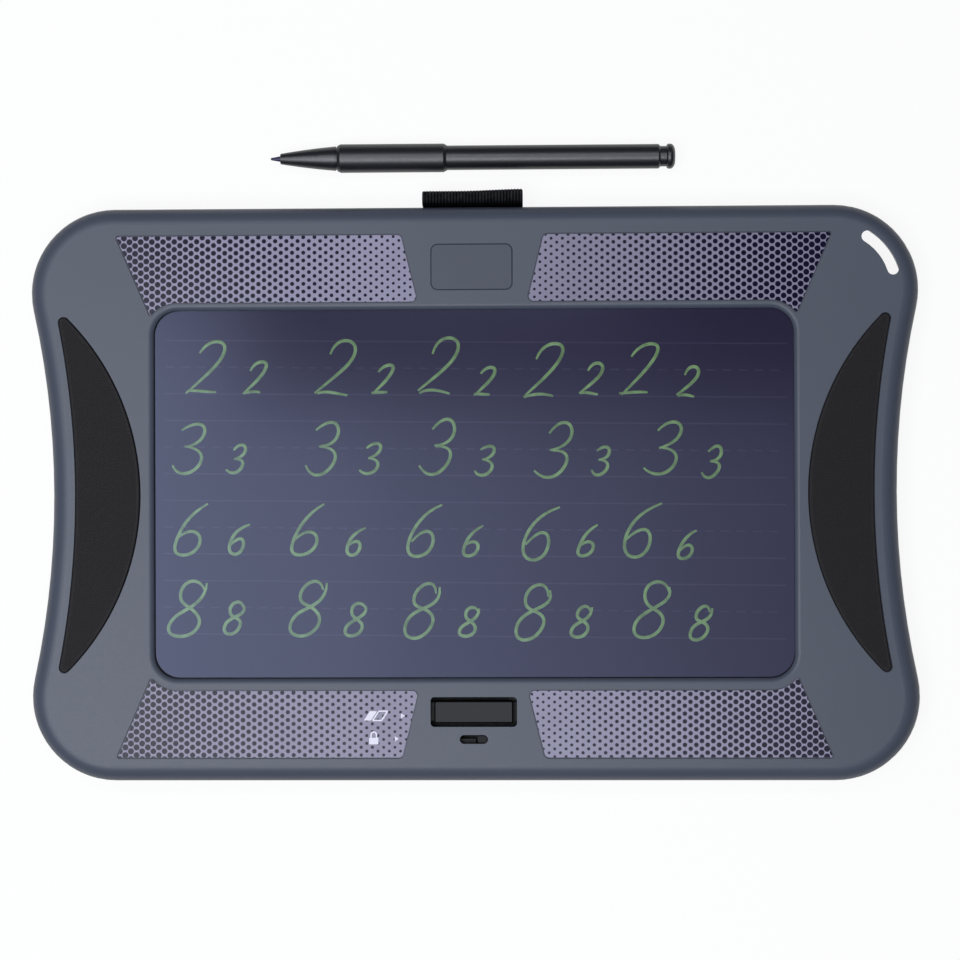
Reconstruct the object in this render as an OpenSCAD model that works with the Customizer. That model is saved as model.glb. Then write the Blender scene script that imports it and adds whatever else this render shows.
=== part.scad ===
// LCD writing tablet: a two-part housing with bowed-in sides, an erase button, a lock slider,
// an elastic loop on the top edge and a stylus that lies beside it.
// X runs along the long side, Y towards the loop, Z out of the screen. The back lies on Z = 0.

/* [Screen] */
// Width of the window in the front bezel
screen_w = 186.8; // [160:0.1:220]
// Height of the window
screen_h = 107.6; // [90:0.1:130]
// Corner radius of the window
screen_r = 7; // [4:0.5:12]
// Width of the rounded edge of the window, seen from the front
bevel_w = 1.5; // [0.8:0.1:1.6]
// Turn of that edge where it leaves the face, in degrees
bevel_start = 4; // [2:1:10]
// Turn of that edge where it meets the lip, in degrees
bevel_turn = 62; // [45:1:64]
// Edge of the film that the lip hides, on each side
film_margin = 3; // [2:0.1:3.4]
// Thickness of the writing film
film_t = 0.8; // [0.5:0.1:1]
// Thickness of the foam gasket between lip and film
gasket_t = 0.3; // [0.2:0.1:0.5]
// Width of the foam gasket
gasket_w = 2; // [1:0.1:2.4]
// Thickness of the stiffener plate behind the film
stiffener_t = 1.2; // [0.8:0.1:1.6]

/* [Housing] */
// Housing beside the window, at the corners, where it is widest
side_bezel = 36.6; // [32:0.05:42]
// Housing above and below the window
end_bezel = 30.2; // [28:0.05:34]
// Overall thickness
body_t = 14; // [13:0.1:17]
// Radius of the four corners
corner_r = 24.7; // [22:0.1:28]
// Turn of the outline where a corner passes into the hollow of a short side, in degrees
bow_angle = 12.4; // [8:0.1:14]
// Rounding of the front edge
front_edge_r = 5; // [3:0.1:5.5]
// Rounding of the back edge
back_edge_r = 3; // [2:0.1:4]
// Height of the rear cover, up to the parting line
rear_h = 6; // [5.6:0.1:7]
// Side wall of the front bezel
wall_t = 2; // [1.6:0.1:2.4]
// Thickness of the front face
face_t = 2; // [1.8:0.1:2.4]
// Thickness of the lip that shows round the film
lip_t = 1.2; // [1.1:0.1:1.6]
// Thickness of the rear floor
floor_t = 2; // [1.8:0.1:2.4]
// Thickness of the tongue that centres the halves
tongue_t = 1.2; // [0.8:0.1:1.6]
// Height of the tongue
tongue_h = 2; // [1:0.1:2.6]
// Depth and height of the shadow line along the parting line
seam = 0.5; // [0.3:0.1:0.8]
// Thickness of the ribs inside
rib_t = 1.4; // [1:0.1:2]
// Distance between the rear ribs
rib_pitch = 36; // [30:1:42]
// Space between the ends of the rear ribs and the edge of the window
rib_end = 9; // [7:0.5:14]

/* [Lanyard slot] */
// Width of the slot through the corner
lanyard_w = 3.3; // [2.5:0.1:3.6]
// Material between the slot and the outline
lanyard_rim = 5.4; // [5:0.1:6]
// First direction of the slot, seen from the corner's centre
lanyard_from = 18; // [14:1:24]
// Last direction of the slot
lanyard_to = 58; // [45:1:62]
// Widening of the slot towards the back, on each side
lanyard_flare = 2.2; // [1:0.1:2.4]
// Wall round the slot inside the housing, at the front
lanyard_wall = 3; // [2.6:0.1:3.4]

/* [Grips] */
// Housing left outside each grip pad
grip_rim = 7.25; // [5:0.05:9]
// Housing between the window and the pad, at the middle
grip_land = 4; // [3.8:0.05:8]
// Radius of the pad's inner edge
grip_inner_r = 73.1; // [60:0.1:90]
// Radius of the pad's tips
grip_tip_r = 1.5; // [1.2:0.1:2.4]
// Depth of the recess that holds the pad
grip_depth = 0.8; // [0.5:0.1:1]
// Height of the pad above the face
grip_proud = 0.5; // [0.2:0.1:1]
// Rounding of the pad's edge
grip_edge_r = 0.5; // [0.3:0.1:0.6]

/* [Inlays] */
// Housing between the long edge and the inlays
inlay_rim = 7.5; // [6:0.1:9]
// Housing between the window and the inlays
inlay_land = 2.6; // [1.8:0.05:4]
// Distance that all the inlays are set towards the controls
inlay_drop = 0.65; // [0:0.05:0.7]
// Half the gap between two inlays, on the window's side
inlay_gap_half = 15.6; // [14.5:0.1:20]
// How much wider that half gap is on the long edge's side
inlay_lean = 5; // [2:0.1:8]
// Outer corner of an inlay, beyond the centre of the window's corner
inlay_run = 18.4; // [14:0.05:22]
// Direction of the inlay's pointed end, seen from the centre of the window's corner
inlay_tip = 34.7; // [25:0.1:45]
// Radius of the two blunt corners
inlay_corner_r = 1.8; // [1:0.1:3]
// Radius of the two pointed corners
inlay_point_r = 0.8; // [0.4:0.1:1]
// Depth of the recess that holds an inlay
inlay_depth = 0.6; // [0.5:0.1:0.7]
// Thickness of an inlay
inlay_t = 0.5; // [0.3:0.1:0.5]
// Groove between an inlay and the edge of its recess
inlay_gap = 0.35; // [0.2:0.05:0.4]

/* [Erase button] */
// Width of the cap
button_w = 23; // [20:0.1:26]
// Height of the cap
button_h = 6.5; // [6:0.1:7.6]
// Corner radius of the cap
button_r = 0.6; // [0.5:0.1:2]
// Distance from the window to the middle of the cap
button_drop = 9.75; // [9.2:0.05:11]
// Height of the cap above the face
button_proud = 0.4; // [0.2:0.1:1]
// Travel of the cap
button_travel = 0.6; // [0.3:0.1:0.7]
// Gap round the cap
button_gap = 1.1; // [0.6:0.05:1.2]
// Wall of the hollow cap
button_wall = 1.2; // [1:0.1:1.6]
// Thickness of the cap's roof
button_roof = 1.4; // [1:0.1:1.8]
// Chamfer along the top of the cap
button_chamfer = 0.4; // [0.2:0.1:0.6]
// Length of the stop that catches under the face at each end
button_stop = 1.8; // [1.4:0.1:2.4]
// Thickness of these stops
button_stop_t = 0.9; // [0.6:0.1:1]

/* [Lock slider] */
// Length of the slot
lock_w = 8.2; // [7:0.1:10]
// Width of the slot
lock_h = 2.6; // [2.2:0.1:3]
// Distance from the middle of the cap to the middle of the slot
lock_drop = 8; // [7.4:0.1:8.4]
// Length of the nub
nub_w = 2.6; // [2:0.1:3.2]
// Depth of the nub's low end below its high end
nub_fall = 1.1; // [0.5:0.1:1.4]
// Clearance round the nub
nub_gap = 0.4; // [0.3:0.05:0.6]
// Width of the gap in the slider's plate beside the nub
nub_sight = 0.6; // [0.4:0.1:0.8]
// Cover of the slider's plate beyond the slot
lock_cover = 0.8; // [0.5:0.1:1.2]
// Thickness of the slider's plate
lock_plate_t = 0.9; // [0.7:0.1:1.1]
// Thickness of the rails that guide the plate
rail_t = 0.8; // [0.6:0.1:1]
// Width of the sprung contact under the slider
wiper_w = 1.8; // [1:0.1:2]
// Height of the sprung contact above the board
wiper_h = 1.6; // [1.2:0.1:2]

/* [Loop] */
// Width of the elastic tape
loop_w = 29.4; // [24:0.1:34]
// Reach of the loop beyond the top edge
loop_reach = 5.2; // [5:0.1:8]
// Height of the loop
loop_rise = 10.6; // [9:0.1:11.4]
// Thickness of the tape
tape_t = 0.9; // [0.6:0.05:1.1]
// Outer radius of the bends away from the housing
loop_front_r = 3; // [2.4:0.1:3.2]
// Outer radius of the bends at the housing
loop_back_r = 1.4; // [1.2:0.1:1.5]
// Diameter of the rod in the hem
anchor_d = 2; // [1.6:0.1:2.4]
// Length of the rod beyond the tape at each end
anchor_over = 1; // [0.5:0.1:2]

/* [Stylus] */
// Distance from the top edge to the stylus
stylus_gap = 15.3; // [12:0.1:30]
// Middle of the stylus, from the middle of the tablet
stylus_shift = -0.1; // [-20:0.1:20]
// Length of the nib that shows
nib_len = 2.95; // [2.4:0.05:4]
// Diameter of the nib at its root
nib_d = 1.7; // [1.7:0.1:2.6]
// Radius of the nib's rounded end
nib_tip_r = 0.4; // [0.3:0.05:0.6]
// Diameter of the nib's shank
nib_shank_d = 1.5; // [1.2:0.1:1.5]
// Length of the nib's shank
nib_shank = 8; // [6:0.5:10]
// Length of the nose cone
cone_len = 16.4; // [12:0.1:20]
// Diameter of the cone where the nib leaves it
cone_tip_d = 3.1; // [2.8:0.1:3.8]
// Diameter of the cone's thick end
cone_d = 7.2; // [6.8:0.1:7.6]
// Radius of the cone's swelling side
cone_side_r = 200; // [60:5:400]
// Length of the groove behind the cone
cone_groove = 0.5; // [0.5:0.1:1.4]
// Depth of that groove
cone_neck = 0.3; // [0.2:0.1:0.5]
// Diameter of the grip sleeve
sleeve_d = 8.4; // [8.3:0.05:10]
// Length of the grip sleeve
sleeve_len = 32.3; // [25:0.1:40]
// Depth of the taper at the sleeve's ends
sleeve_chamfer = 0.45; // [0.2:0.05:0.45]
// Length of that taper
sleeve_taper = 0.9; // [0.5:0.1:1.5]
// Diameter of the barrel
barrel_d = 7.2; // [6.8:0.05:7.2]
// Length of the barrel that shows behind the sleeve
barrel_len = 63; // [50:0.1:80]
// Chamfer of the barrel's rear end
barrel_chamfer = 0.5; // [0.2:0.1:0.6]
// Bore of the barrel
barrel_bore = 5.5; // [5:0.1:6]
// Length of the spigots inside the barrel
spigot_len = 7; // [5:0.5:9]
// Diameter of the neck at the tail
neck_d = 6; // [5.6:0.1:6.8]
// Length of the neck
neck_len = 1.85; // [1.5:0.05:3]
// Diameter of the bead at the tail
bead_d = 7.4; // [7.2:0.1:8]
// Length of the bead
bead_len = 2.55; // [2.4:0.05:3.5]
// Rounding of the bead towards the neck
bead_r = 0.7; // [0.3:0.1:0.8]
// Radial depth of the bead's domed end
dome_r = 2.2; // [1:0.1:3]
// Length of the domed end
dome_len = 1.5; // [1:0.1:1.6]

/* [Electronics] */
// Gap between the film's edge and the circuit board, seen from the front
board_film_gap = 0.8; // [0.5:0.1:2]
// Gap between the circuit board and the wall
board_edge_gap = 1.6; // [1:0.1:3]
// Width of the circuit board
board_w = 68; // [62:0.5:80]
// Thickness of the circuit board
board_t = 1.6; // [1:0.1:1.6]
// Distance of the board's screws from its edges
board_screw_in = 4; // [3:0.1:5]
// Size of the driver chip
chip = [5, 4, 1.5]; // [1:0.1:6]
// Diameter of the boost inductor
inductor_d = 5.2; // [4:0.1:6]
// Height of the boost inductor
inductor_h = 2.6; // [2:0.1:3]
// Size of a capacitor
capacitor = [1.6, 3.2, 1.2]; // [1:0.1:3.4]
// Side of the tact switch
switch_w = 6; // [5:0.1:6.4]
// Height of the tact switch's body
switch_h = 1.9; // [1.6:0.1:2]
// Diameter of the switch plunger
plunger_d = 3.2; // [2.4:0.1:3.4]
// Height of the plunger above the switch body
plunger_h = 0.85; // [0.8:0.05:1]
// Depth of the plunger inside the switch body
plunger_in = 0.9; // [0.6:0.1:1]
// Diameter of the coin cell
cell_d = 20; // [16:0.1:20.6]
// Thickness of the coin cell
cell_t = 3.2; // [2.5:0.1:3.2]
// Smaller face of the coin cell, in from its rim
cell_rim = 1.2; // [0.8:0.1:2]
// Height of that smaller face
cell_step = 0.5; // [0.3:0.1:0.8]
// Wall round the cell in the rear cover
ring_wall = 1.4; // [1:0.1:1.8]
// Part of the cell that lies above the board's upper edge
cell_over = 2.2; // [1:0.1:3]
// Distance of the flex tail from the board's end
flex_in = 18; // [15:0.5:22]
// Depth of the flex connector
connector_d = 3.8; // [3:0.1:5]
// Height of the flex connector
connector_h = 1.8; // [1.6:0.1:2]
// Ends of the flex connector beside the flex tail
connector_side = 2; // [1:0.1:3]
// Width of the flex tail
flex_w = 8; // [6:0.1:10]
// Distance from the film's edge to the bend of the flex tail
flex_run = 1.2; // [1:0.1:1.6]
// Length of the flex tail's end in the connector
flex_tab = 2.4; // [2:0.1:3]
// Thickness of the flex tail
flex_t = 0.2; // [0.1:0.05:0.3]
// Thickness of the sheet-metal contacts
contact_t = 0.3; // [0.2:0.05:0.4]
// Width of the sheet-metal contacts
contact_w = 3; // [2:0.1:4]

/* [Battery door] */
// Thickness of the door
door_t = 1.2; // [1:0.1:1.4]
// Door beyond the cell, at its sides
door_side = 3; // [2:0.1:5]
// Door beyond the cell, at the screw's end
door_head = 8; // [7.6:0.1:10]
// Door beyond the cell, at the hook's end
door_foot = 1.8; // [1.4:0.1:2]
// Gap round the door
door_gap = 0.25; // [0.15:0.05:0.4]
// Corner radius of the door
door_r = 2; // [1:0.1:3]
// Distance of the door's screw from its end
door_screw_in = 3.1; // [2.8:0.1:4]
// Depth of the screw head's recess in the door
door_sink = 0.6; // [0.5:0.1:0.7]
// Height of the boss for the door's screw
door_boss_h = 5; // [4:0.1:6]
// Width of each hook
hook_w = 4; // [3:0.1:6]
// Thickness and reach of each hook
hook_t = 1; // [0.8:0.1:1.2]

/* [Fasteners] */
// Shank of the housing screws
screw_d = 1.9; // [1.6:0.1:2.1]
// Head diameter of the housing screws
screw_head_d = 4.2; // [3.8:0.1:4.6]
// Head height of the housing screws
screw_head_h = 1.5; // [1:0.1:1.6]
// Depth of the counterbores from the back
screw_sink = 3.2; // [2.8:0.1:3.6]
// Grip of the screws in their bosses
screw_grip = 4; // [3:0.1:4.6]
// Distance of the upper and lower screws from the long edges
screw_edge = 12; // [11:0.5:14]
// Distance of the upper screws from the loop
screw_loop_gap = 10.3; // [6:0.1:16]
// Distance of the lower screws from the board
screw_board_gap = 8; // [5:0.1:14]
// Outer diameter of the screw bosses
boss_d = 6.4; // [6:0.1:7.5]
// Shank of the small screws for board and door
small_screw_d = 1.5; // [1.2:0.1:1.6]
// Head diameter of the small screws
small_head_d = 3.4; // [3:0.1:3.6]
// Head height of the small screws
small_head_h = 1; // [0.8:0.1:1]
// Outer diameter of the small bosses
small_boss_d = 4.6; // [4.2:0.1:5]

/* [Clearances] */
// Gap round a piece that is laid in a recess
lay_gap = 0.2; // [0.1:0.05:0.3]
// Gap between tongue and wall
tongue_gap = 0.2; // [0.1:0.05:0.3]
// Gap round a moving piece or a passing tape
run_gap = 0.3; // [0.2:0.05:0.4]
// Radial gap between pieces that are pushed together
push_gap = 0.05; // [0.04:0.01:0.08]
// Gap between flat faces that meet without pressing
rest_gap = 0.1; // [0.05:0.05:0.15]
// Radial gap of a screw in a clearance hole
hole_gap = 0.2; // [0.15:0.05:0.3]

/* [Hidden] */
$fn = 64;

// Colours as they look on the object
body_grey = [0.39, 0.42, 0.46];
film_blue = [0.28, 0.29, 0.38];
pad_black = [0.14, 0.14, 0.15];
inlay_lilac = [0.58, 0.55, 0.67];
key_grey = [0.23, 0.23, 0.25];
tape_black = [0.06, 0.06, 0.07];
pen_black = [0.11, 0.11, 0.12];
steel = [0.72, 0.73, 0.75];
brass = [0.78, 0.65, 0.36];
board_black = [0.07, 0.08, 0.09];
part_black = [0.16, 0.16, 0.17];

// Outline: corner arcs, straight long edges and one hollow arc for each short side
body_w = screen_w + 2 * side_bezel;
body_h = screen_h + 2 * end_bezel;
corner_x = body_w / 2 - corner_r;
corner_y = body_h / 2 - corner_r;
side_r = corner_y / sin(bow_angle) - corner_r;
side_x = corner_x + corner_y / tan(bow_angle);
past = 1;
// Depth by which a rib or boss runs into the wall that carries it
weld = 0.3;
// Step that keeps two round faces from running into each other without an edge
hair = 0.03;

// Heights
face_under = body_t - face_t;
lip_under = body_t - lip_t;
film_top = lip_under - gasket_t;
film_under = film_top - film_t;
stiffener_under = film_under - stiffener_t;
rear_wall = wall_t + tongue_gap + tongue_t;
board_under = rear_h;
board_top = board_under + board_t;

// Rounded edge of the window: radius and place of its centre
bevel_r = bevel_w / (sin(bevel_turn) - sin(bevel_start));
bevel_out = bevel_r * sin(bevel_turn);
bevel_z = body_t - bevel_r * cos(bevel_start);

// Film and the fence that locates it
film_w = screen_w + 2 * film_margin;
film_h = screen_h + 2 * film_margin;
film_r = screen_r + film_margin;
pocket_w = film_w + 2 * lay_gap;
pocket_h = film_h + 2 * lay_gap;
pocket_r = film_r + lay_gap;
fence_t = rib_t;

// Controls, board and cell
button_y = -screen_h / 2 - button_drop;
lock_y = button_y - lock_drop;
lock_travel = lock_w - nub_w - 2 * nub_gap;
nub_right = lock_w / 2 - nub_gap;
nub_left = nub_right - nub_w;
board_y1 = -film_h / 2 - board_film_gap;
board_y0 = -body_h / 2 + rear_wall + board_edge_gap;
board_mid = (board_y0 + board_y1) / 2;
switch_top = board_top + switch_h;
plunger_top = switch_top + plunger_h;
plunger_under = switch_top - plunger_in;
wiper_top = board_top + wiper_h;
stop_top = face_under - rest_gap;
stop_under = stop_top - button_stop_t;
cell_y = board_y1 - cell_d / 2 + cell_over;
cell_under = door_t + rest_gap;
cell_top = cell_under + cell_t;
door_w = cell_d + 2 * door_side;
door_y0 = cell_y - cell_d / 2 - door_foot;
door_y1 = cell_y + cell_d / 2 + door_head;
door_screw_y = door_y1 - door_screw_in;
hook_under = floor_t + rest_gap;
flex_x = board_w / 2 - flex_in;
flex_z = face_under - rest_gap / 2 - flex_t;
flex_bend_y = -film_h / 2 - flex_run;
flex_end_y = flex_bend_y - flex_tab;
connector_y = flex_end_y + connector_d / 3;
slot_z = board_top + connector_h / 2;

// Cross recess of the screws, as shares of the head's diameter
cross_len = 0.55;
cross_w = 0.16;

// Screw places, and the depth of a blind bore beyond its screw
bore_spare = 1;
housing_spots = [
    for (mx = [-1, 1], my = [-1, 1]) [mx * corner_x, my * corner_y],
    for (mx = [-1, 1]) [mx * (loop_w / 2 + screw_loop_gap), body_h / 2 - screw_edge],
    for (mx = [-1, 1]) [mx * (board_w / 2 + screw_board_gap), -body_h / 2 + screw_edge]
];
board_spots = [
    for (mx = [-1, 1], y = [board_y0 + board_screw_in, board_y1 - board_screw_in])
        [mx * (board_w / 2 - board_screw_in), y]
];

// Grip pads: the outer edge follows the short side, the inner edge is one arc, the tips are round
grip_mid_x = screen_w / 2 + grip_land;
grip_x = grip_mid_x + grip_inner_r;
grip_d_out = side_r + grip_rim + grip_tip_r;
grip_d_in = grip_inner_r - grip_tip_r;
tip_sum = pow(grip_d_out, 2) - pow(grip_d_in, 2) + pow(grip_x, 2) - pow(side_x, 2);
tip_x = tip_sum / (2 * (grip_x - side_x));
tip_y = sqrt(pow(grip_d_in, 2) - pow(tip_x - grip_x, 2));
tip_out = atan2(tip_y, side_x - tip_x);
tip_in = atan2(tip_y, tip_x - grip_x);

// Turn along the window's corner that the rounding of an inlay's tip may take
tip_turn = 12;

// Lanyard slot: middle line, half width with its walls, the turn these walls take at its ends,
// the radius where its block is part of the side wall, and the turn by which the gap in the
// tongue is longer
lanyard_mid = corner_r - lanyard_rim - lanyard_w / 2;
lanyard_half = lanyard_w / 2 + lanyard_wall;
lanyard_wrap = lanyard_half / lanyard_mid * 180 / PI;
lanyard_outer = corner_r - wall_t + weld;
lanyard_spare = 2;

// Loop, where the tails leave the housing at the parting line
loop_y = body_h / 2 + lay_gap;
hem_r = anchor_d / 2 + push_gap + tape_t;
hem_y = body_h / 2 - rear_wall - run_gap - hem_r;

// Stylus lengths, measured from the tip
cone_from = nib_len;
cone_to = cone_from + cone_len;
barrel_from = cone_to + cone_groove;
sleeve_to = barrel_from + sleeve_len;
barrel_to = sleeve_to + barrel_len;
bead_from = barrel_to + neck_len;
stylus_len = bead_from + bead_len;

// Points along an arc, without its last one
function arc(centre, r, from, to, steps) =
    [for (i = [0 : steps - 1]) let (a = from + (to - from) * i / steps) centre + r * [cos(a), sin(a)]];

function unit(v) = v / norm(v);
function short_turn(a) = a > 180 ? a - 360 : a < -180 ? a + 360 : a;
function direction(v) = atan2(v[1], v[0]);

// Points that round the corner p of a path from a over p to b
function rounded(a, p, b, r, steps = 8) =
    let (
        u = unit(a - p),
        v = unit(b - p),
        half = acos(u * v) / 2,
        centre = p + unit(u + v) * r / sin(half),
        from = direction(p + u * r / tan(half) - centre),
        turn = short_turn(direction(p + v * r / tan(half) - centre) - from)
    )
    arc(centre, r, from, from + turn * (steps + 1) / steps, steps + 1);

// Repeats its children in all four quarters
module four_ways() {
    for (mx = [0, 1], my = [0, 1])
        mirror([mx, 0, 0])
            mirror([0, my, 0])
                children();
}

// Section of the housing's rim: X from the corners' centres outwards, Y is the height
module rim_profile(inset, z0, z1, top_r = 0, bottom_r = 0) {
    reach = corner_r - inset;
    translate([0, z0 + bottom_r])
        square([reach, z1 - z0 - top_r - bottom_r]);
    if (top_r > 0)
        translate([0, z1 - top_r]) {
            square([reach - top_r, top_r]);
            translate([reach - top_r, 0])
                quarter_disc(top_r);
        }
    if (bottom_r > 0)
        translate([0, z0 + bottom_r])
            mirror([0, 1]) {
                square([reach - bottom_r, bottom_r]);
                translate([reach - bottom_r, 0])
                    quarter_disc(bottom_r);
            }
}

module quarter_disc(r) {
    intersection() {
        circle(r);
        square(r);
    }
}

// Moves along X in three steps, so that a long distance keeps its last decimals
module shift_x(x) {
    whole = floor(x);
    part = floor((x - whole) * 1000) / 1000;
    translate([whole, 0, 0])
        translate([part, 0, 0])
            translate([x - whole - part, 0, 0])
                children();
}

// Carries a rim section round the bowed outline
module bow_sweep() {
    four_ways()
        translate([corner_x, corner_y, 0])
            rotate_extrude(angle = 90 + bow_angle, start = -bow_angle)
                children();
    for (mx = [0, 1])
        mirror([mx, 0, 0])
            shift_x(side_x)
                rotate_extrude(angle = 2 * bow_angle, start = 180 - bow_angle)
                    shift_x(side_r + corner_r)
                        mirror([1, 0])
                            children();
    for (my = [0, 1])
        mirror([0, my, 0])
            translate([-corner_x, corner_y, 0])
                rotate([90, 0, 90])
                    linear_extrude(2 * corner_x)
                        children();
}

// Fills the inside of a bow sweep
module bow_core(z0, z1) {
    translate([-corner_x, -corner_y, z0])
        cube([2 * corner_x, 2 * corner_y, z1 - z0]);
}

module bow_body(inset, z0, z1, top_r = 0, bottom_r = 0) {
    bow_sweep()
        rim_profile(inset, z0, z1, top_r, bottom_r);
    bow_core(z0, z1);
}

// Carries a section round a rectangle with round corners
module frame_sweep(w, h, r) {
    four_ways()
        translate([w / 2 - r, h / 2 - r, 0])
            rotate_extrude(angle = 90)
                children();
    for (my = [0, 1])
        mirror([0, my, 0])
            translate([r - w / 2, h / 2 - r, 0])
                rotate([90, 0, 90])
                    linear_extrude(w - 2 * r)
                        children();
    for (mx = [0, 1])
        mirror([mx, 0, 0])
            translate([w / 2 - r, h / 2 - r, 0])
                rotate([90, 0, 0])
                    linear_extrude(h - 2 * r)
                        children();
}

// Plate with round corners
module plate(w, h, r, z0, z1) {
    frame_sweep(w, h, r)
        translate([0, z0])
            square([r, z1 - z0]);
    translate([r - w / 2, r - h / 2, z0])
        cube([w - 2 * r, h - 2 * r, z1 - z0]);
}

// Plate with round corners whose upper part widens or narrows by spread
module flared_plate(w, h, r, z0, z1, z2, spread) {
    frame_sweep(w, h, r)
        polygon([[0, z0], [r, z0], [r, z1], [r + spread, z2], [0, z2]]);
    translate([r - w / 2, r - h / 2, z0])
        cube([w - 2 * r, h - 2 * r, z2 - z0]);
}

// Upright cylinder between two heights
module post(at, d, z0, z1) {
    translate([at[0], at[1], z0])
        cylinder(d = d, h = z1 - z0);
}

// Box between two corners
module box(from, to) {
    translate(from)
        cube(to - from);
}

// Block and cut for the lanyard slot in the upper right corner
module lanyard_ring(r0, r1, from, to, z0, z1) {
    translate([corner_x, corner_y, 0])
        rotate_extrude(angle = to - from, start = from)
            translate([r0, z0])
                square([r1 - r0, z1 - z0]);
}

module lanyard_block(z0, z1) {
    lanyard_ring(lanyard_mid - lanyard_half, lanyard_outer,
        lanyard_from - lanyard_wrap, lanyard_to + lanyard_wrap, z0, z1);
}

// Half of the slot's section, from its middle line to its leaning wall
module lanyard_section(less) {
    front = lanyard_w / 2 - less;
    lean = lanyard_flare / body_t;
    polygon([
        [0, -past],
        [front + lean * (body_t + past), -past],
        [front - lean * past, body_t + past],
        [0, body_t + past]
    ]);
}

module lanyard_cut() {
    translate([corner_x, corner_y, 0]) {
        rotate_extrude(angle = lanyard_to - lanyard_from, start = lanyard_from)
            translate([lanyard_mid, 0])
                for (side = [0, 1])
                    mirror([side, 0])
                        lanyard_section(0);
        for (end = [lanyard_from, lanyard_to])
            rotate(end)
                translate([lanyard_mid, 0, 0])
                    rotate_extrude()
                        lanyard_section(hair / 2);
    }
}

// Slot in the top edge for the tails of the loop
module loop_cut(z0, z1) {
    half = loop_w / 2 + run_gap;
    box([-half, body_h / 2 - rear_wall - past, z0], [half, body_h / 2 + past, z1]);
}

// Outline of the right grip pad, grown on all sides
module grip_outline(grow) {
    tip = grip_tip_r + grow;
    polygon(concat(
        arc([grip_x, 0], grip_inner_r + grow, 360 - tip_in, tip_in, 40),
        arc([tip_x, tip_y], tip, tip_in, -tip_out, 10),
        arc([side_x, 0], side_r + grip_rim - grow, 180 - tip_out, 180 + tip_out, 30),
        arc([tip_x, -tip_y], tip, tip_out, -tip_in, 10)
    ));
}

// Outline of the upper right inlay's recess
module inlay_outline() {
    corner = [screen_w / 2 - screen_r, screen_h / 2 - screen_r];
    low = screen_h / 2 + inlay_land;
    high = body_h / 2 - inlay_rim;
    blunt_low = [inlay_gap_half, low];
    blunt_high = [inlay_gap_half + inlay_lean, high];
    sharp = [corner[0] + inlay_run, high];
    edge_r = screen_r + inlay_land;
    edge = arc(corner, edge_r, inlay_tip + tip_turn, 90, 12);
    tip = corner + edge_r * [cos(inlay_tip), sin(inlay_tip)];
    polygon(concat(
        rounded(blunt_low, blunt_high, sharp, inlay_corner_r),
        rounded(blunt_high, sharp, tip, inlay_point_r),
        rounded(sharp, tip, edge[0], inlay_point_r),
        edge,
        [[corner[0], low]],
        rounded([corner[0], low], blunt_low, blunt_high, inlay_corner_r)
    ));
}

// Window with its rounded edge, from below the lip to above the face
module window_cut() {
    plate(screen_w, screen_h, screen_r, face_under - past, body_t + past);
    frame_sweep(screen_w, screen_h, screen_r)
        difference() {
            translate([0, lip_under])
                square([screen_r + bevel_out, body_t + past - lip_under]);
            translate([screen_r + bevel_out, bevel_z])
                circle(bevel_r);
        }
}

// Fence under the face that locates film and stiffener, open over the controls
module film_fence() {
    difference() {
        plate(pocket_w + 2 * fence_t, pocket_h + 2 * fence_t, pocket_r + fence_t,
            stiffener_under, face_under);
        plate(pocket_w, pocket_h, pocket_r, stiffener_under - past, face_under + past);
        box([-board_w / 2, -pocket_h, stiffener_under - past], [board_w / 2, 0, face_under]);
    }
}

// Rails under the face that guide the slider's plate
module lock_rails() {
    rail_in = lock_h / 2 + lock_cover + run_gap;
    rail_half = (lock_w + lock_travel) / 2;
    for (my = [0, 1])
        translate([0, lock_y, 0])
            mirror([0, my, 0])
                box([-rail_half, rail_in, face_under - lock_plate_t - run_gap],
                    [rail_half, rail_in + rail_t, face_under]);
}

module front_bezel() {
    color(body_grey)
        difference() {
            union() {
                difference() {
                    bow_body(0, rear_h, body_t, front_edge_r);
                    bow_body(wall_t, rear_h - past, face_under, front_edge_r - wall_t);
                }
                film_fence();
                lock_rails();
                lanyard_block(rear_h, face_under + weld);
                for (p = housing_spots)
                    post(p, boss_d, rear_h, face_under);
                for (p = board_spots)
                    post(p, small_boss_d, board_top, face_under);
            }
            window_cut();
            plate(pocket_w, pocket_h, pocket_r, face_under - past / 2, lip_under);
            translate([0, button_y, 0])
                plate(button_w + 2 * button_gap, button_h + 2 * button_gap, button_r + button_gap / 2,
                    face_under - past, body_t + past);
            translate([0, lock_y, 0])
                plate(lock_w, lock_h, lock_h / 2 - hair, face_under - past, body_t + past);
            for (mx = [0, 1])
                mirror([mx, 0, 0])
                    translate([0, 0, body_t - grip_depth])
                        linear_extrude(grip_depth + past)
                            grip_outline(lay_gap);
            translate([0, -inlay_drop, body_t - inlay_depth])
                four_ways()
                    linear_extrude(inlay_depth + past)
                        inlay_outline();
            loop_cut(rear_h - past, rear_h + tape_t + run_gap);
            lanyard_cut();
            for (p = housing_spots)
                post(p, screw_d + 2 * push_gap, rear_h - past, rear_h + screw_grip + bore_spare);
            for (p = board_spots)
                post(p, small_screw_d + 2 * push_gap, board_top - past, face_under - bore_spare / 2);
        }
}

// Rim section of the rear cover, with the shadow line and the tongue
module rear_profile() {
    rim_profile(0, 0, rear_h - seam, 0, back_edge_r);
    rim_profile(seam, rear_h - seam, rear_h);
    rim_profile(wall_t + tongue_gap, rear_h, rear_h + tongue_h);
}

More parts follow.
